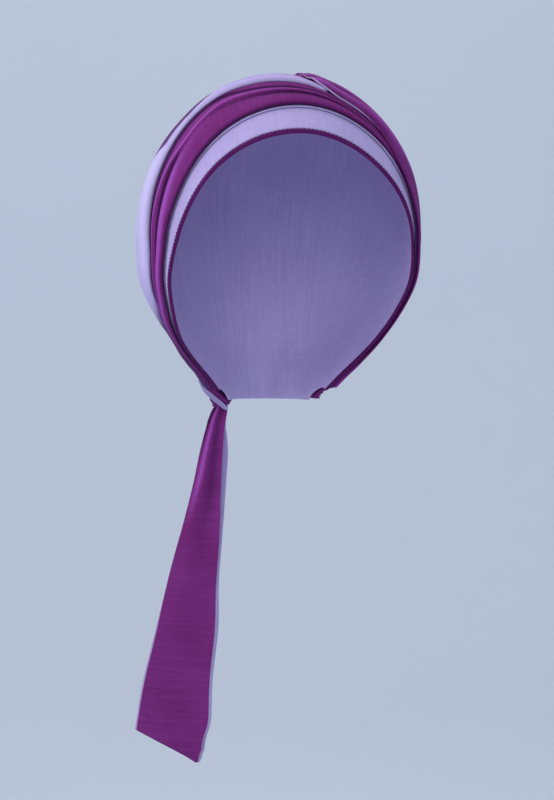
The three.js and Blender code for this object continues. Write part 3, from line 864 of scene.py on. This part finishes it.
def stitches_group():
    """Node group for the loops of a fine jersey: height of the stitches and tone of the uneven yarn."""
    group, get, give = new_group(
        "jersey_stitches",
        {"Cloth": ("Vector", None), "Pitch": ("Float", 0.0008)},
        {"Height": ("Float", None), "Tone": ("Float", None)},
    )
    split = put(group, "ShaderNodeSeparateXYZ", {0: get["Cloth"]})
    across = maths(group, "DIVIDE", split.outputs[0], get["Pitch"])
    along = maths(group, "DIVIDE", split.outputs[1], get["Pitch"])
    wale = maths(group, "SINE", maths(group, "MULTIPLY", across, 2 * math.pi))
    lean = maths(group, "MULTIPLY", maths(group, "ABSOLUTE", wale), 1.6)
    loop = maths(group, "SINE", maths(group, "MULTIPLY_ADD", along, 2.6 * math.pi, lean))
    both = maths(group, "MULTIPLY_ADD", wale, 0.30, maths(group, "MULTIPLY", loop, 0.22))
    group.links.new(maths(group, "ADD", both, 0.5), give["Height"])
    yarn = put(group, "ShaderNodeCombineXYZ", {0: maths(group, "MULTIPLY", across, 0.035), 1: along})
    slub = put(group, "ShaderNodeTexNoise", {"Vector": yarn.outputs[0], "Scale": 0.55, "Detail": 3.0})
    group.links.new(slub.outputs[0], give["Tone"])
    return group


def tones_group():
    """Node group for a dyed cloth's colour and roughness.

    The dye gets a mottle, uneven yarn and a fine grain. A tone above zero paints a highlight, taking it up to its
    highlit colour, and one below zero paints shade, taking it down to its shaded colour.
    """
    inputs = {name: ("Color", None) for name in ("Dye", "Shaded", "Highlit")}
    inputs |= {"Place": ("Vector", None), "Tone": ("Float", None), "Fold": ("Float", None)}
    inputs["Streak"] = ("Float", 0.3)
    group, get, give = new_group("cloth_tones", inputs, {"Color": ("Color", None), "Roughness": ("Float", None)})
    mottle = put(group, "ShaderNodeTexNoise", {"Vector": get["Place"], "Scale": 26.0, "Detail": 4.0}).outputs[0]
    fine = put(group, "ShaderNodeTexNoise", {"Vector": get["Place"], "Scale": 420.0, "Detail": 2.0}).outputs[0]
    colour_now = mixed(group, ranged(group, mottle, 0.35, 0.7, 0.0, 0.16), get["Dye"], get["Highlit"])
    light = ranged(group, get["Tone"], 0.3, 0.7, 0.0, 1.0)
    streak = maths(group, "MULTIPLY", light, get["Streak"])
    shadow = maths(group, "MULTIPLY", maths(group, "SUBTRACT", 1.0, light), get["Streak"])
    grain = ranged(group, fine, 0.3, 0.7, 0.0, 0.12)
    # Painted highlight and painted shade from the tone attribute
    painted_highlight = ranged(group, get["Fold"], 0.0, 1.0, 0.0, HIGHLIGHT_SHARE)
    painted_shade = ranged(group, get["Fold"], 0.0, -1.0, 0.0, SHADE_SHARE)
    for factor, towards in ((streak, "Highlit"), (shadow, "Shaded"), (grain, "Shaded"), (painted_highlight, "Highlit"), (painted_shade, "Shaded")):
        colour_now = mixed(group, factor, colour_now, get[towards])
    group.links.new(colour_now, give["Color"])
    group.links.new(ranged(group, mottle, 0.3, 0.7, 0.72, 0.84), give["Roughness"])
    return group


def group_named(name, maker):
    """Node group made once and used by every material that needs it."""
    return bpy.data.node_groups.get(name) or maker()


def jersey(name, dye, shaded, highlit, turned=False, pitch=0.0008, streak=0.12, grain=0.00012, sheen=0.12):
    """Material of a fine jersey, whose loops follow the piece's cloth UV."""
    name = f"knit_{name}"
    made = bpy.data.materials.get(name)
    if made:
        return made
    made = bpy.data.materials.new(name)
    made.use_nodes = True
    tree = made.node_tree
    uv = put(tree, "ShaderNodeUVMap", uv_map="cloth").outputs[0]
    cloth = put(tree, "ShaderNodeMapping", {"Vector": uv, "Rotation": (0, 0, math.pi / 2 * turned)}).outputs[0]
    place = tree.nodes.new("ShaderNodeTexCoord").outputs["Object"]
    # The tone attribute: painted highlight above zero, painted shade below zero
    fold = put(tree, "ShaderNodeAttribute", attribute_name="tone").outputs["Fac"]
    stitches = group_named("jersey_stitches", stitches_group)
    knit = put(tree, "ShaderNodeGroup", node_tree=stitches)
    fill(tree, knit, {"Cloth": cloth, "Pitch": pitch})
    tones = put(tree, "ShaderNodeGroup", node_tree=group_named("cloth_tones", tones_group))
    fill(tree, tones, {"Dye": (*dye, 1), "Shaded": (*shaded, 1), "Highlit": (*highlit, 1), "Streak": streak})
    fill(tree, tones, {"Place": place, "Tone": knit.outputs["Tone"], "Fold": fold})
    bump = put(tree, "ShaderNodeBump", {"Strength": 0.6, "Distance": grain, "Height": knit.outputs["Height"]})
    shader = tree.nodes["Principled BSDF"]
    fill(tree, shader, {"Base Color": tones.outputs["Color"], "Roughness": tones.outputs["Roughness"]})
    fill(tree, shader, {"Normal": bump.outputs[0], "Specular IOR Level": SHINE, "Sheen Tint": (*highlit, 1)})
    fill(tree, shader, {"Sheen Weight": sheen, "Sheen Roughness": SHEEN_ROUGHNESS})
    return made


def purple(c, name="purple_jersey", sheen=0.2, **more):
    """Outer side of the cloth."""
    return jersey(name, c.purple, c.purple_shaded, c.purple_highlit, sheen=sheen, **more)


def lavender(c, name="lavender_jersey", sheen=0.1, shaded=None, **more):
    """Lining side of the cloth."""
    return jersey(name, c.lavender, shaded or c.lavender_shaded, c.lavender_highlit, sheen=sheen, **more)


def panel_front(way):
    """Tilt of the crossing panel's free edge.

    The table's line over the top, then the wrap's front, which comes down to the hem at the side.
    """
    tilts = np.linspace(PANEL_EDGE[0]["tilt"], PANEL_EDGE[-1]["tilt"], PANEL_STEPS)
    crossing = column(PANEL_EDGE, "tilt", tilts, "way")
    low = smooth(*PANEL_LOWERS, way)
    side = edge(way, "cover") * (1 - low) + (edge(way, "brow") - PANEL_OVER_HEM) * low
    tilts = tilts + (edge(crossing[:1], "cover")[0] - tilts[0]) * smooth(*PANEL_JOINS, tilts)
    over_top = np.interp(way, crossing[::-1], tilts[::-1])
    return np.where(way < PANEL_EDGE[0]["way"], over_top, side)


def panel_lift(s, way, tilt):
    """Height of the crossing panel over the crown's cloth.

    One layer, one more over the lining's tip, and less along the free edge where it rests on the brow's cloth.
    """
    turn = edge(way, "turn")
    front = panel_front(way)
    over_cloth = smooth(*PANEL_SETTLES, way)
    over_tip = smooth(turn + TIP_BEHIND[0], turn + TIP_BEHIND[1], tilt) * smooth(*TIP_ENDS, way)
    rest_width = REST_WIDTHS[0] + REST_WIDTHS[1] * smooth(*REST_WIDENS, way)
    resting = smooth(front + rest_width, front, tilt)
    return (s.jersey + s.layer_gap) * (over_cloth * (1 - REST_SHARE * resting) + over_tip)


def stages(context):
    """Sizes and colours that the operators work with."""
    return context.scene.headscarf_sizes, context.scene.headscarf_colours


class ScarfCap(bpy.types.Operator):
    """Fitted cap of lavender jersey, the innermost layer"""

    bl_idname = "scarf.cap"
    bl_label = "Fitted cap"

    def execute(self, context):
        s, c = stages(context)
        way = ways(CAP_GRID[0])
        face = edge(way, "face")
        front = face + tilt_of(s, gathered(s.binding_width, way) + s.piece_gap, way, face)
        tilts = rows_between(s, way, front, np.full_like(way, CAP_LOWER), CAP_GRID[1], spread=1.2)
        low = np.zeros_like(tilts)
        cloth = lavender(c, "cap_jersey", turned=True, pitch=0.0011, streak=0.09)
        cap = layer(s, "cap_cloth", way, tilts, low, low + s.jersey, cloth, ["base_cap"], "lavender_jersey")
        return {"FINISHED"}


class ScarfBinding(bpy.types.Operator):
    """Binding of the face opening, with the stitches along its seam"""

    bl_idname = "scarf.binding"
    bl_label = "Face binding"

    def execute(self, context):
        s, c = stages(context)
        way = ways(BINDING_GRID[0])
        face = edge(way, "face")
        back = face + tilt_of(s, gathered(s.binding_width, way), way, face)
        thick = s.binding_thickness
        tilts = rows_between(s, way, face, back, BINDING_GRID[1], inset=thick / s.jersey / 2)
        share = np.linspace(0, 1, BINDING_GRID[1])[:, None]
        low = np.zeros_like(tilts)
        high = low + thick * (BINDING_EDGE + (1 - BINDING_EDGE) * np.sin(np.pi * share) ** 0.5)
        cloth = jersey("binding_jersey", c.binding, c.purple_shaded, c.purple, pitch=0.0007, streak=0.06)
        layer(s, "face_binding", way, tilts, low, high, cloth, ["front_binding"], "binding_jersey")
        self.stitch(s, c, way, back)
        return {"FINISHED"}

    @staticmethod
    def stitch(s, c, way, back):
        """Short round stitches along the seam: rings round an arc of the seam, narrowed at both ends."""
        inset = tilt_of(s, gathered(STITCH_INSET, way), way, back)
        seam = on_form(s, way, back - inset, s.binding_thickness * STITCH_LEVEL)
        run = spans(seam[None], 1)[0]
        starts = np.arange(0, run[-1] - STITCH_PITCH, STITCH_PITCH)
        at = starts[:, None] + np.linspace(0, STITCH_PITCH * STITCH_SHARE, STITCH_STEPS)[None, :]
        path = np.stack([np.interp(at, run, seam[:, k]) for k in range(3)], -1)
        out = unit(path - crown_middle(s))
        side = np.cross(unit(np.gradient(path, axis=1)), out)
        swell = np.sin(np.linspace(STITCH_END, np.pi - STITCH_END, STITCH_STEPS)) ** 0.5 * STITCH_RADIUS
        turn = turns(STITCH_SIDES)
        points = swept(path, side, out, np.cos(turn), np.sin(turn), swell).reshape(-1, 3)
        first = np.arange(len(starts))[:, None, None] * STITCH_STEPS * STITCH_SIDES
        lid = np.array([[0, 1, 2, 3], [3, 4, 5, 0]])
        walls = first + grid_quads(STITCH_STEPS, STITCH_SIDES, columns_close=True)
        near, far = first + lid[:, ::-1], first + lid + (STITCH_STEPS - 1) * STITCH_SIDES
        faces = [block.reshape(-1, 4) for block in (walls, near, far)]
        thread = jersey("seam_thread", c.binding, c.purple_shaded, c.purple, pitch=0.0004, streak=0.5)
        tone = np.zeros(len(points))
        make_piece("binding_stitches", points, faces, points[:, [0, 2]], tone, thread, [], "binding_jersey")


class ScarfBrow(bpy.types.Operator):
    """Folded purple cloth over the brow, with the lavender hem under it"""

    bl_idname = "scarf.brow"
    bl_label = "Brow folds and hem"

    def execute(self, context):
        s, c = stages(context)
        way = ways(HEM_GRID[0])
        brow = edge(way, "brow")
        shown = self.hem_shown(way)
        hem_back = brow + tilt_of(s, gathered(s.hem_width * shown, way), way, brow)
        rim_front = tilt_of(s, gathered(s.jersey * 0.35 * shown, way), way, brow)
        tilts = brow + rim_front + (hem_back - brow - 2 * rim_front) * np.linspace(0, 1, HEM_GRID[1])[:, None]
        low = np.full_like(tilts, brow_base(s))
        high = low + s.jersey * (0.12 + 0.38 * shown)
        # Painted shade on the hem: dark at the sides where it rolls under, and a little all along
        tone = np.broadcast_to(-1 + shown, tilts.shape) * 0.8 - 0.15
        hem = layer(s, "brow_hem_roll", way, tilts, low, high, lavender(c), ["brow_hem"], "lavender_jersey", tone)

        way = ways(BROW_GRID[0])
        brow = edge(way, "brow")
        front = brow + tilt_of(s, gathered(s.hem_width * self.hem_shown(way), way) + s.piece_gap, way, brow)
        cover = edge(way, "cover")
        share = np.linspace(0, 1, BROW_GRID[1])[:, None]
        inset = tilt_of(s, gathered(s.jersey / 2, way), way, front)
        folds = front + inset + (cover - front - inset) * share
        down = np.linspace(0.12, 1, TUCK_ROWS)[:, None]
        tucked = cover + tilt_of(s, gathered(s.tuck, way), way, cover) * down
        tilts = np.concatenate([folds, tucked])
        base = brow_height(s, way, share)
        low = np.concatenate([base, np.full(tucked.shape, brow_base(s))])
        # Painted light along the brow's folds, and full painted shade on the cloth tucked under the layer above
        tone = np.concatenate([brow_painted_light(way, share), np.full(tucked.shape, -1.0)])
        cloth = purple(c, "brow_jersey", turned=True, streak=0.10)
        brow_cloth = layer(
            s, "brow_cloth", way, tilts, low, low + s.jersey, cloth, ["brow_wrap"], "purple_jersey", tone
        )
        return {"FINISHED"}

    @staticmethod
    def hem_shown(way):
        """Share of the hem's width that isn't rolled under: all over the brow, a little at the sides."""
        return HEM_LEAST + (1 - HEM_LEAST) * smooth(*HEM_OPENS, way) * smooth(*HEM_CLOSES, way)


class ScarfCrown(bpy.types.Operator):
    """Purple cloth over the crown, and the panel that crosses over it with its line of lining"""

    bl_idname = "scarf.crown"
    bl_label = "Crown wrap"

    def execute(self, context):
        s, c = stages(context)
        cloth = purple(c, "crown_jersey", turned=True, streak=0.10)
        way = ways(CROWN_GRID[0], FIRST_WAY, CROWN_END)
        under = smooth(TURN_END + 0.012, TURN_END - 0.012, way)
        front = edge(way, "cover") + tilt_of(s, gathered(s.turn_rim * 1.05, way), way, edge(way, "cover")) * under
        tilts = rows_between(s, way, front, np.full_like(way, CROWN_LOWER), CROWN_GRID[1], spread=1.15)
        low = crown_height(s, way, tilts)
        left = layer(
            s, "crown_cloth", way, tilts, low, low + s.jersey, cloth, ["crown_wrap"], "purple_jersey", height_shading(low)
        )

        stops = (PANEL_EDGE[-1]["way"] + PANEL_INSET, *PANEL_STOPS, LAST_WAY)
        way = np.interp(np.arange(PANEL_GRID[0]), PANEL_COLUMNS, stops)
        back = np.full_like(way, CROWN_LOWER + 0.05)
        tilts = rows_between(s, way, panel_front(way), back, PANEL_GRID[1], spread=1.3)
        low = crown_height(s, way, tilts) + panel_lift(s, way, tilts)
        high = low + s.jersey
        panel = layer(
            s, "crossing_panel", way, tilts, low, high, cloth, ["crown_wrap"], "purple_jersey", height_shading(low)
        )
        piping = self.piping(s, c)
        return {"FINISHED"}

    @staticmethod
    def piping(s, c):
        """Fine roll of lining along the panel's edge: a round section carried along it, thin at both ends."""
        way = np.linspace(*PIPING_RUN, PIPING_GRID[0])
        front = panel_front(way)
        lift = s.jersey * PIPING_LEVEL
        path = on_form(s, way, front, crown_height(s, way, front) + panel_lift(s, way, front) + lift)
        out, side = squared(path, path - crown_middle(s))
        run = np.linspace(0, 1, len(way))
        swell = np.clip(smooth(*PIPING_STARTS, run) * smooth(*PIPING_ENDS, run), PIPING_LEAST, 1)
        turn = turns(PIPING_GRID[1])
        grid = swept(path, side, out, np.cos(turn), np.sin(turn), s.piping_width / 2 * swell)
        points, faces, uv = globe(grid)
        # A little painted shade all along the piping
        tone = np.full(len(points), PIPING_SHADE)
        cloth = lavender(c)
        return make_piece("panel_piping", points, faces, uv, tone, cloth, ["crown_piping"], "lavender_jersey")


class ScarfLining(bpy.types.Operator):
    """Lavender lining turned out over the wrap's front edge, in one roll from the top to the knot"""

    bl_idname = "scarf.lining"
    bl_label = "Turned lining"

    def execute(self, context):
        s, c = stages(context)
        way = ways(TURN_GRID[0], FIRST_WAY, TURN_END)
        cover = edge(way, "cover")
        taper = np.minimum(1, np.maximum(TURN_END - way, TURN_TIP) / TURN_TAPER)
        waist = bell(way, *TURN_WAIST)
        back = cover + (edge(way, "turn") - WAIST_TILT * waist - cover) * taper
        share = np.linspace(0, 1, TURN_GRID[1])[:, None] ** 1.35
        rim_size = np.minimum(tilt_of(s, gathered(s.turn_rim * 0.55, way), way, cover), (back - cover) * 0.35)
        tilts = cover + rim_size + (back - cover - rim_size * 1.3) * share
        own = s.turn_rise * column(TURN_FOLDS, "across", share, "height") * (0.35 + full(way, "lift"))
        own = own * (1 - 0.5 * waist) * taper
        over = crown_height(s, way, tilts) + s.jersey + s.layer_gap
        high = over + own + s.jersey * (0.3 + 0.7 * taper)
        behind = tilt_of(s, gathered(s.turn_rim, way), way, cover)
        under = smooth(cover + behind * 0.90, cover + behind * 0.60, tilts)
        low = (over + own) * (1 - under) + (crown_base(s) + 0.2 * s.jersey) * under
        # Dark purple for the lining's painted shade, which also paints the wrap's purple past the lining's
        # lavender
        cloth = lavender(c, "turned_jersey", shaded=linear(70, 18, 84))
        tones = self.tones(way, share)
        fold = layer(s, "lining_fold", way, tilts, low, high, cloth, ["turned_edge"], "lavender_jersey", *tones)
        return {"FINISHED"}

    @staticmethod
    def tones(way, share):
        """Painted light on the lining's width and on its round rim.

        Lavender between the table's two lines and dark purple past them, by smooth steps, with painted shade of a
        slanting crease, a bell, near the lining's end. The dark purple is painted shade on the rolled-under rim
        and the wrap's purple past the lavender, and the lavender takes the painted highlight.
        """
        inner_line, outer_line, rubbed = (column(TURN_TONES, "way", way, n) for n in ("inner", "outer", "rubbed"))
        crease = bell(share - 0.2, TURN_CREASE_SLANT * (way - 0.44), 0.05) * smooth(0.43, 0.47, way)
        tone = -1 + (1 + rubbed) * smooth(outer_line + 0.05, outer_line - 0.05, share) - TURN_CREASE_SHADE * crease
        round_rim = np.linspace(0, 1, RIM_STEPS)[:, None]
        return np.clip(tone, -1, 1), -1 + (1 + rubbed) * smooth(inner_line - 0.2, inner_line + 0.15, round_rim)


class ScarfNape(bpy.types.Operator):
    """Lower edge of the wrap, folded over as a band above the nape"""

    bl_idname = "scarf.nape"
    bl_label = "Nape band"

    def execute(self, context):
        s, c = stages(context)
        way = ways(NAPE_GRID[0])
        tilts = rows_between(s, way, edge(way, "nape"), np.full_like(way, BAND_LOWER), NAPE_GRID[1])
        share = np.linspace(0, 1, NAPE_GRID[1])[:, None]
        folds = BAND_FOLD * np.sin(np.pi * (3 * share + 1.5 * way)) ** 2
        low = crown_height(s, way, tilts) + s.jersey + s.layer_gap + folds
        cloth = purple(c, "nape_jersey", turned=True, streak=0.10)
        band = layer(
            s, "nape_cloth", way, tilts, low, low + s.jersey, cloth, ["nape_band"], "purple_jersey", height_shading(low)
        )
        return {"FINISHED"}


class ScarfKnot(bpy.types.Operator):
    """Knot at the nape: a pleated lump with a turn of cloth drawn tight round it"""

    bl_idname = "scarf.knot"
    bl_label = "Knot"

    def execute(self, context):
        s, c = stages(context)
        cloth = purple(c, "knot_jersey", streak=0.2)
        points, faces, uv, tone = self.lump()
        make_piece("knot_lump", points, faces, uv, tone, cloth, ["nape_knot"], "purple_jersey")
        self.strand("wrap_end", STRAND_OUTER, 0.0078, 0.0034, purple(c, "strand_jersey"), "purple_jersey")
        self.strand("lining_end", STRAND_LINING, 0.0052, 0.0028, lavender(c), "lavender_jersey")

        turn = turns(KNOT_TURN_GRID)
        front = KNOT_HALF[1] * 0.80 * np.cos(turn) + KNOT_SET_BACK
        loop = np.stack([KNOT_LEAN * np.sin(turn), front, KNOT_HALF[2] * 0.86 * np.sin(turn)], -1)
        across = np.tile(np.array([1.0, 0.0, 0.08]), (len(loop), 1))
        wide, high, _ = pleated(0.0085, 0.0034, 0.7, 0.35, 3)
        grid = swept(KNOT_MIDDLE + loop, across, unit(loop), wide, high, np.ones(len(loop)))
        points, faces, uv = ring_of(grid)
        make_piece("knot_turn", points, faces, uv, np.zeros(len(points)), cloth, ["nape_knot"], "purple_jersey")
        return {"FINISHED"}

    @staticmethod
    def lump():
        """Pleated ball that fills the knot's box, its poles at the front and the back.

        The radius is the sine of the turn along it, less the pleats, a cosine of the turn round it, and less a
        dent, a bell, at the top and the bottom.
        """
        around = turns(KNOT_GRID[1])[None, :]
        along = np.linspace(0, np.pi, KNOT_GRID[0])[:, None]
        y = np.cos(along)
        pleats = (0.5 - 0.5 * np.cos(KNOT_PLEATS * around + KNOT_TWIST * y)) ** 0.6
        dent = KNOT_DENT * bell(np.sin(around), 0, 0.35) * np.sin(along)
        radius = np.sin(along) ** 0.9 * (1 - KNOT_PLEAT_DEPTH * (1 - pleats) - dent)
        grid = np.stack([radius * np.sin(around), y + 0 * around, radius * np.cos(around)], -1) * KNOT_HALF
        # Tone: paler towards the highlit colour in the dips between the pleats, most round the lump's middle
        shade = np.clip(1 - pleats, 0, 1) * np.sin(along)
        return *globe(KNOT_MIDDLE + grid), np.concatenate([shade[1:-1].ravel(), [0, 0]])

    @staticmethod
    def strand(name, path_table, wide, thick, material, slot):
        """Gathered end of the wrap on its way into the knot: a pleated flat section carried along a curve."""
        run = np.linspace(0, 1, STRAND_GRID)
        path = np.stack([column(path_table, "along", run, key) for key in ("side", "rear", "up")], -1) / 1000
        out, across = squared(path, np.array(STRAND_OUT))
        flat, high, pleat = pleated(wide, thick, 0.8, 0.30, 2.5, lambda turn: np.sin(turn) > 0)
        swell = np.clip(1 - np.abs(2 * run - 1) ** 12, 0.02, 1) ** 0.5 * (0.3 + 0.7 * smooth(0, 0.5, run))
        points, faces, uv = globe(swept(KNOT_MIDDLE + path, across, out, flat, high, swell))
        # Painted shade in the dips of the pleats, and a faint painted highlight between them
        tone = np.tile((pleat - STRAND_PLEAT_LEVEL) * STRAND_SHADE_CONTRAST, len(run) - 2)
        return make_piece(name, points, faces, uv, np.concatenate([tone, [0, 0]]), material, ["nape_knot"], slot)


def tail_grid(s, place, back, shift, trim, depth, along, across):
    """Points of a tail's cloth.

    Each level is a strip of the table's width round the table's middle, bent by a cosine over its width into a
    ridge and a hollow, with its outer margin turned back near the knot and its far corner rounded.
    """
    share = across[None, :]
    drop = along[:, None]
    row = {name: column(TAIL_SECTIONS, "drop", drop, name) for name in TAIL_SECTIONS[0] if name != "drop"}
    width = s.tail_width * (row["width"] + TAIL_FLARE * smooth(0.07, 0.0, drop))
    middle = KNOT_MIDDLE[1] - s.tail_forward * row["forward"] + place * s.tail_space / 2 * row["space"] + back
    left = KNOT_MIDDLE[0] - s.tail_swing * row["middle"] - width / 2 + shift * row["shift"]
    bend = -np.cos(2 * np.pi * (share - 0.3)) * (1 - 0.5 * share)
    near_knot = smooth(-0.02, 0.06, drop) * smooth(0.42, 0.18, drop)
    margin = TAIL_MARGIN * near_knot * smooth(0.24, 0.0, share)
    ripple = TAIL_RIPPLE * np.sin(np.pi * (5 * drop + 1.4 * share)) * smooth(0.1, 0.4, drop)
    wave = TAIL_WAVE * np.sin(np.pi * 7 * drop) * smooth(0.45, 0.7, drop) * smooth(0.8, 1.0, share)
    corner = smooth(0.86, 1.04, share) * smooth(0.88, 1.0, drop)
    inwards = trim * smooth(0.35, 0.70, drop) * smooth(0.6, 1.0, share)
    x = left + width * share - inwards + wave - TAIL_CORNER_IN * corner
    y = middle + depth + s.tail_fold * row["fold"] * bend + margin + ripple
    hang = s.tail_length * drop + s.tail_slant * share * np.maximum(drop, 0) ** 4
    z = TAIL_HIGH[2] - hang + TAIL_CORNER_UP * corner
    return np.stack(np.broadcast_arrays(x, y, z), -1)


def tail_painted_light(along, across):
    """Painted light on a tail: a lit ridge beside a shaded hollow to the outer edge, a shaded valley and top."""
    share, drop = across[None, :], along[:, None]
    line = 0.24 - 0.45 * np.clip(drop, 0, 0.4)
    fading = smooth(0.40, 0.20, drop)
    ridge = RIDGE_HIGHLIGHT * bell(share, line, 0.07) * fading
    hollow = HOLLOW_SHADE * smooth(line - 0.06, line - 0.20, share) * smooth(0.22, 0.05, drop)
    valley = VALLEY_SHADE * bell(share, 0.62, 0.16) * fading
    return np.clip(ridge - hollow - valley - ROOT_SHADE * smooth(0.012, -0.03, drop), -1, 1)


class ScarfTails(bpy.types.Operator):
    """Two lined tails that hang from the knot, each a purple cloth and a lavender one"""

    bl_idname = "scarf.tails"
    bl_label = "Tails"

    def execute(self, context):
        s, c = stages(context)
        outer = purple(c, "tail_jersey", pitch=0.0010, streak=0.10), "purple_jersey"
        lining = lavender(c, "tail_lining_jersey", pitch=0.0010, streak=0.10), "lavender_jersey"
        behind, lip = s.tail_ply + s.piece_gap, s.tail_lip
        self.cloth(s, "front_tail", "front_tail_face", outer, -1, 0.0, 0.0, s.tail_trim, 0.005)
        self.cloth(s, "front_tail_back", "front_tail_lining", lining, -1, behind, lip * 0.4, -lip * 0.2)
        self.cloth(s, "rear_tail", "rear_tail_face", lining, 1, 0.0, s.tail_shift, -lip)
        self.cloth(s, "rear_tail_back", "rear_tail_lining", outer, 1, behind, s.tail_shift, 0.0)
        return {"FINISHED"}

    @staticmethod
    def cloth(s, name, node, side, place, back, shift, trim, above=0.0):
        """One cloth of a tail, as a closed wall with round edges, its top set above the knot's by a length."""
        top = above / s.tail_length
        along = np.linspace(0, 1, TAIL_GRID[0]) ** 1.1 * (1 + top) - top
        across = (1 - np.cos(np.linspace(0, np.pi, TAIL_GRID[1]))) / 2
        sideways = np.zeros((1, len(across), 3))
        sideways[..., 0] = s.tail_ply / 2 * (1 - 2 * across)
        outer, inner = (
            (tail_grid(s, place, back, shift, trim, depth, along, across) + sideways).transpose(1, 0, 2)
            for depth in (0.0, s.tail_ply)
        )
        points, faces, uv, shade = shell(outer, inner, tail_painted_light(along, across).T)
        tail = make_piece(name, points, faces, uv[:, ::-1], shade, side[0], [node], side[1])


class ScarfStage(bpy.types.Operator):
    """Plain pale studio: floor and wall in one curve, soft lights and the camera"""

    bl_idname = "scarf.stage"
    bl_label = "Studio"

    def execute(self, context):
        _, c = stages(context)
        self.backdrop(c)
        self.lights(context)
        self.camera(context)
        return {"FINISHED"}

    @staticmethod
    def backdrop(c):
        """Floor that turns up into a wall all round: a profile of radius and height carried round the upright."""
        turn = np.linspace(0, np.pi / 2, 24)
        curve = np.stack([FLOOR_RADIUS + WALL_BEND * np.sin(turn), FLOOR_LEVEL + WALL_BEND * (1 - np.cos(turn))]).T
        floor = [[0.001, FLOOR_LEVEL], [FLOOR_RADIUS / 2, FLOOR_LEVEL]]
        radius, height = np.concatenate([floor, curve, [[FLOOR_RADIUS + WALL_BEND, WALL_TOP]]]).T[:, :, None]
        around = turns(96)
        grid = np.stack([radius * np.cos(around), radius * np.sin(around), height + 0 * around], -1)
        mesh = bpy.data.meshes.new("studio_floor")
        quads = grid_quads(*grid.shape[:2], columns_close=True)
        mesh.from_pydata(grid.reshape(-1, 3).tolist(), [], quads.tolist())
        mesh.shade_smooth()
        floor_piece = bpy.data.objects.new("studio_floor", mesh)
        bpy.context.scene.collection.objects.link(floor_piece)
        paint = bpy.data.materials.new("studio_paper")
        paint.use_nodes = True
        tree = paint.node_tree
        place = tree.nodes.new("ShaderNodeTexCoord").outputs["Object"]
        noise = put(tree, "ShaderNodeTexNoise", {"Vector": place, "Scale": 1.2, "Detail": 2.0})
        shade = ranged(tree, noise.outputs[0], 0.3, 0.7, 0.0, 0.10)
        tone = mixed(tree, shade, (*c.backdrop, 1), (*[x * 0.8 for x in c.backdrop], 1))
        shader = tree.nodes["Principled BSDF"]
        tree.links.new(tone, shader.inputs["Base Color"])
        shader.inputs["Roughness"].default_value = 0.9
        mesh.materials.append(paint)

    @staticmethod
    def lights(context):
        """Window light from the left, soft lights from the front, the right, above and behind, and a pale sky."""
        for name, place, aim, size, power, tint in LIGHTS:
            data = bpy.data.lights.new(name, "AREA")
            data.shape = "DISK"
            data.size = size
            data.energy = power
            data.color = tint
            light = bpy.data.objects.new(name, data)
            light.visible_camera = False
            light.location = place
            x, y, z = np.array(aim) - np.array(place)
            light.rotation_euler = (math.pi / 2 + math.atan2(z, math.hypot(x, y)), 0, math.atan2(-x, y))
            context.scene.collection.objects.link(light)
        world = bpy.data.worlds.new("studio_sky")
        world.use_nodes = True
        sky = world.node_tree.nodes["Background"]
        sky.inputs["Color"].default_value = SKY_COLOUR
        sky.inputs["Strength"].default_value = SKY_STRENGTH
        context.scene.world = world
        context.scene.view_settings.view_transform = "Standard"

    @staticmethod
    def camera(context):
        """Level camera, turned from the front towards -X to the photograph's angle."""
        data = bpy.data.cameras.new("camera")
        data.sensor_fit = "VERTICAL"
        data.sensor_height = 24
        data.lens = CAMERA_LENS
        data.clip_end = 20
        camera = bpy.data.objects.new("camera", data)
        along, square = math.sin(CAMERA_TURN), math.cos(CAMERA_TURN)
        camera.location = (
            CAMERA_ASIDE * square + CAMERA_DISTANCE * along,
            CAMERA_ASIDE * along - CAMERA_DISTANCE * square,
            CAMERA_LEVEL,
        )
        camera.rotation_euler = (math.pi / 2, 0, CAMERA_TURN)
        context.scene.collection.objects.link(camera)
        context.scene.camera = camera


OPERATORS = (
    ScarfStage,
    ScarfCap,
    ScarfBinding,
    ScarfBrow,
    ScarfCrown,
    ScarfLining,
    ScarfNape,
    ScarfKnot,
    ScarfTails,
)


class HeadscarfPanel(bpy.types.Panel):
    """Sizes, colours and steps of the headscarf"""

    bl_label = "Headscarf"
    bl_idname = "VIEW3D_PT_headscarf"
    bl_space_type = "VIEW_3D"
    bl_region_type = "UI"
    bl_category = "Headscarf"

    def draw(self, context):
        layout = self.layout
        for holder in stages(context):
            box = layout.box()
            for name in holder.__annotations__:
                box.prop(holder, name)
        for step in OPERATORS:
            layout.operator(step.bl_idname)


CLASSES = (HeadscarfSizes, HeadscarfColours, *OPERATORS, HeadscarfPanel)


def register():
    for made in CLASSES:
        bpy.utils.register_class(made)
    bpy.types.Scene.headscarf_sizes = PointerProperty(type=HeadscarfSizes)
    bpy.types.Scene.headscarf_colours = PointerProperty(type=HeadscarfColours)


def unregister():
    del bpy.types.Scene.headscarf_colours
    del bpy.types.Scene.headscarf_sizes
    for made in reversed(CLASSES):
        bpy.utils.unregister_class(made)


def main():
    """Builds every piece in order."""
    register()
    for step in OPERATORS:
        group, name = step.bl_idname.split(".")
        if getattr(getattr(bpy.ops, group), name)() != {"FINISHED"}:
            raise RuntimeError(f"{step.bl_label} wasn't built")


if __name__ == "__main__":
    main()
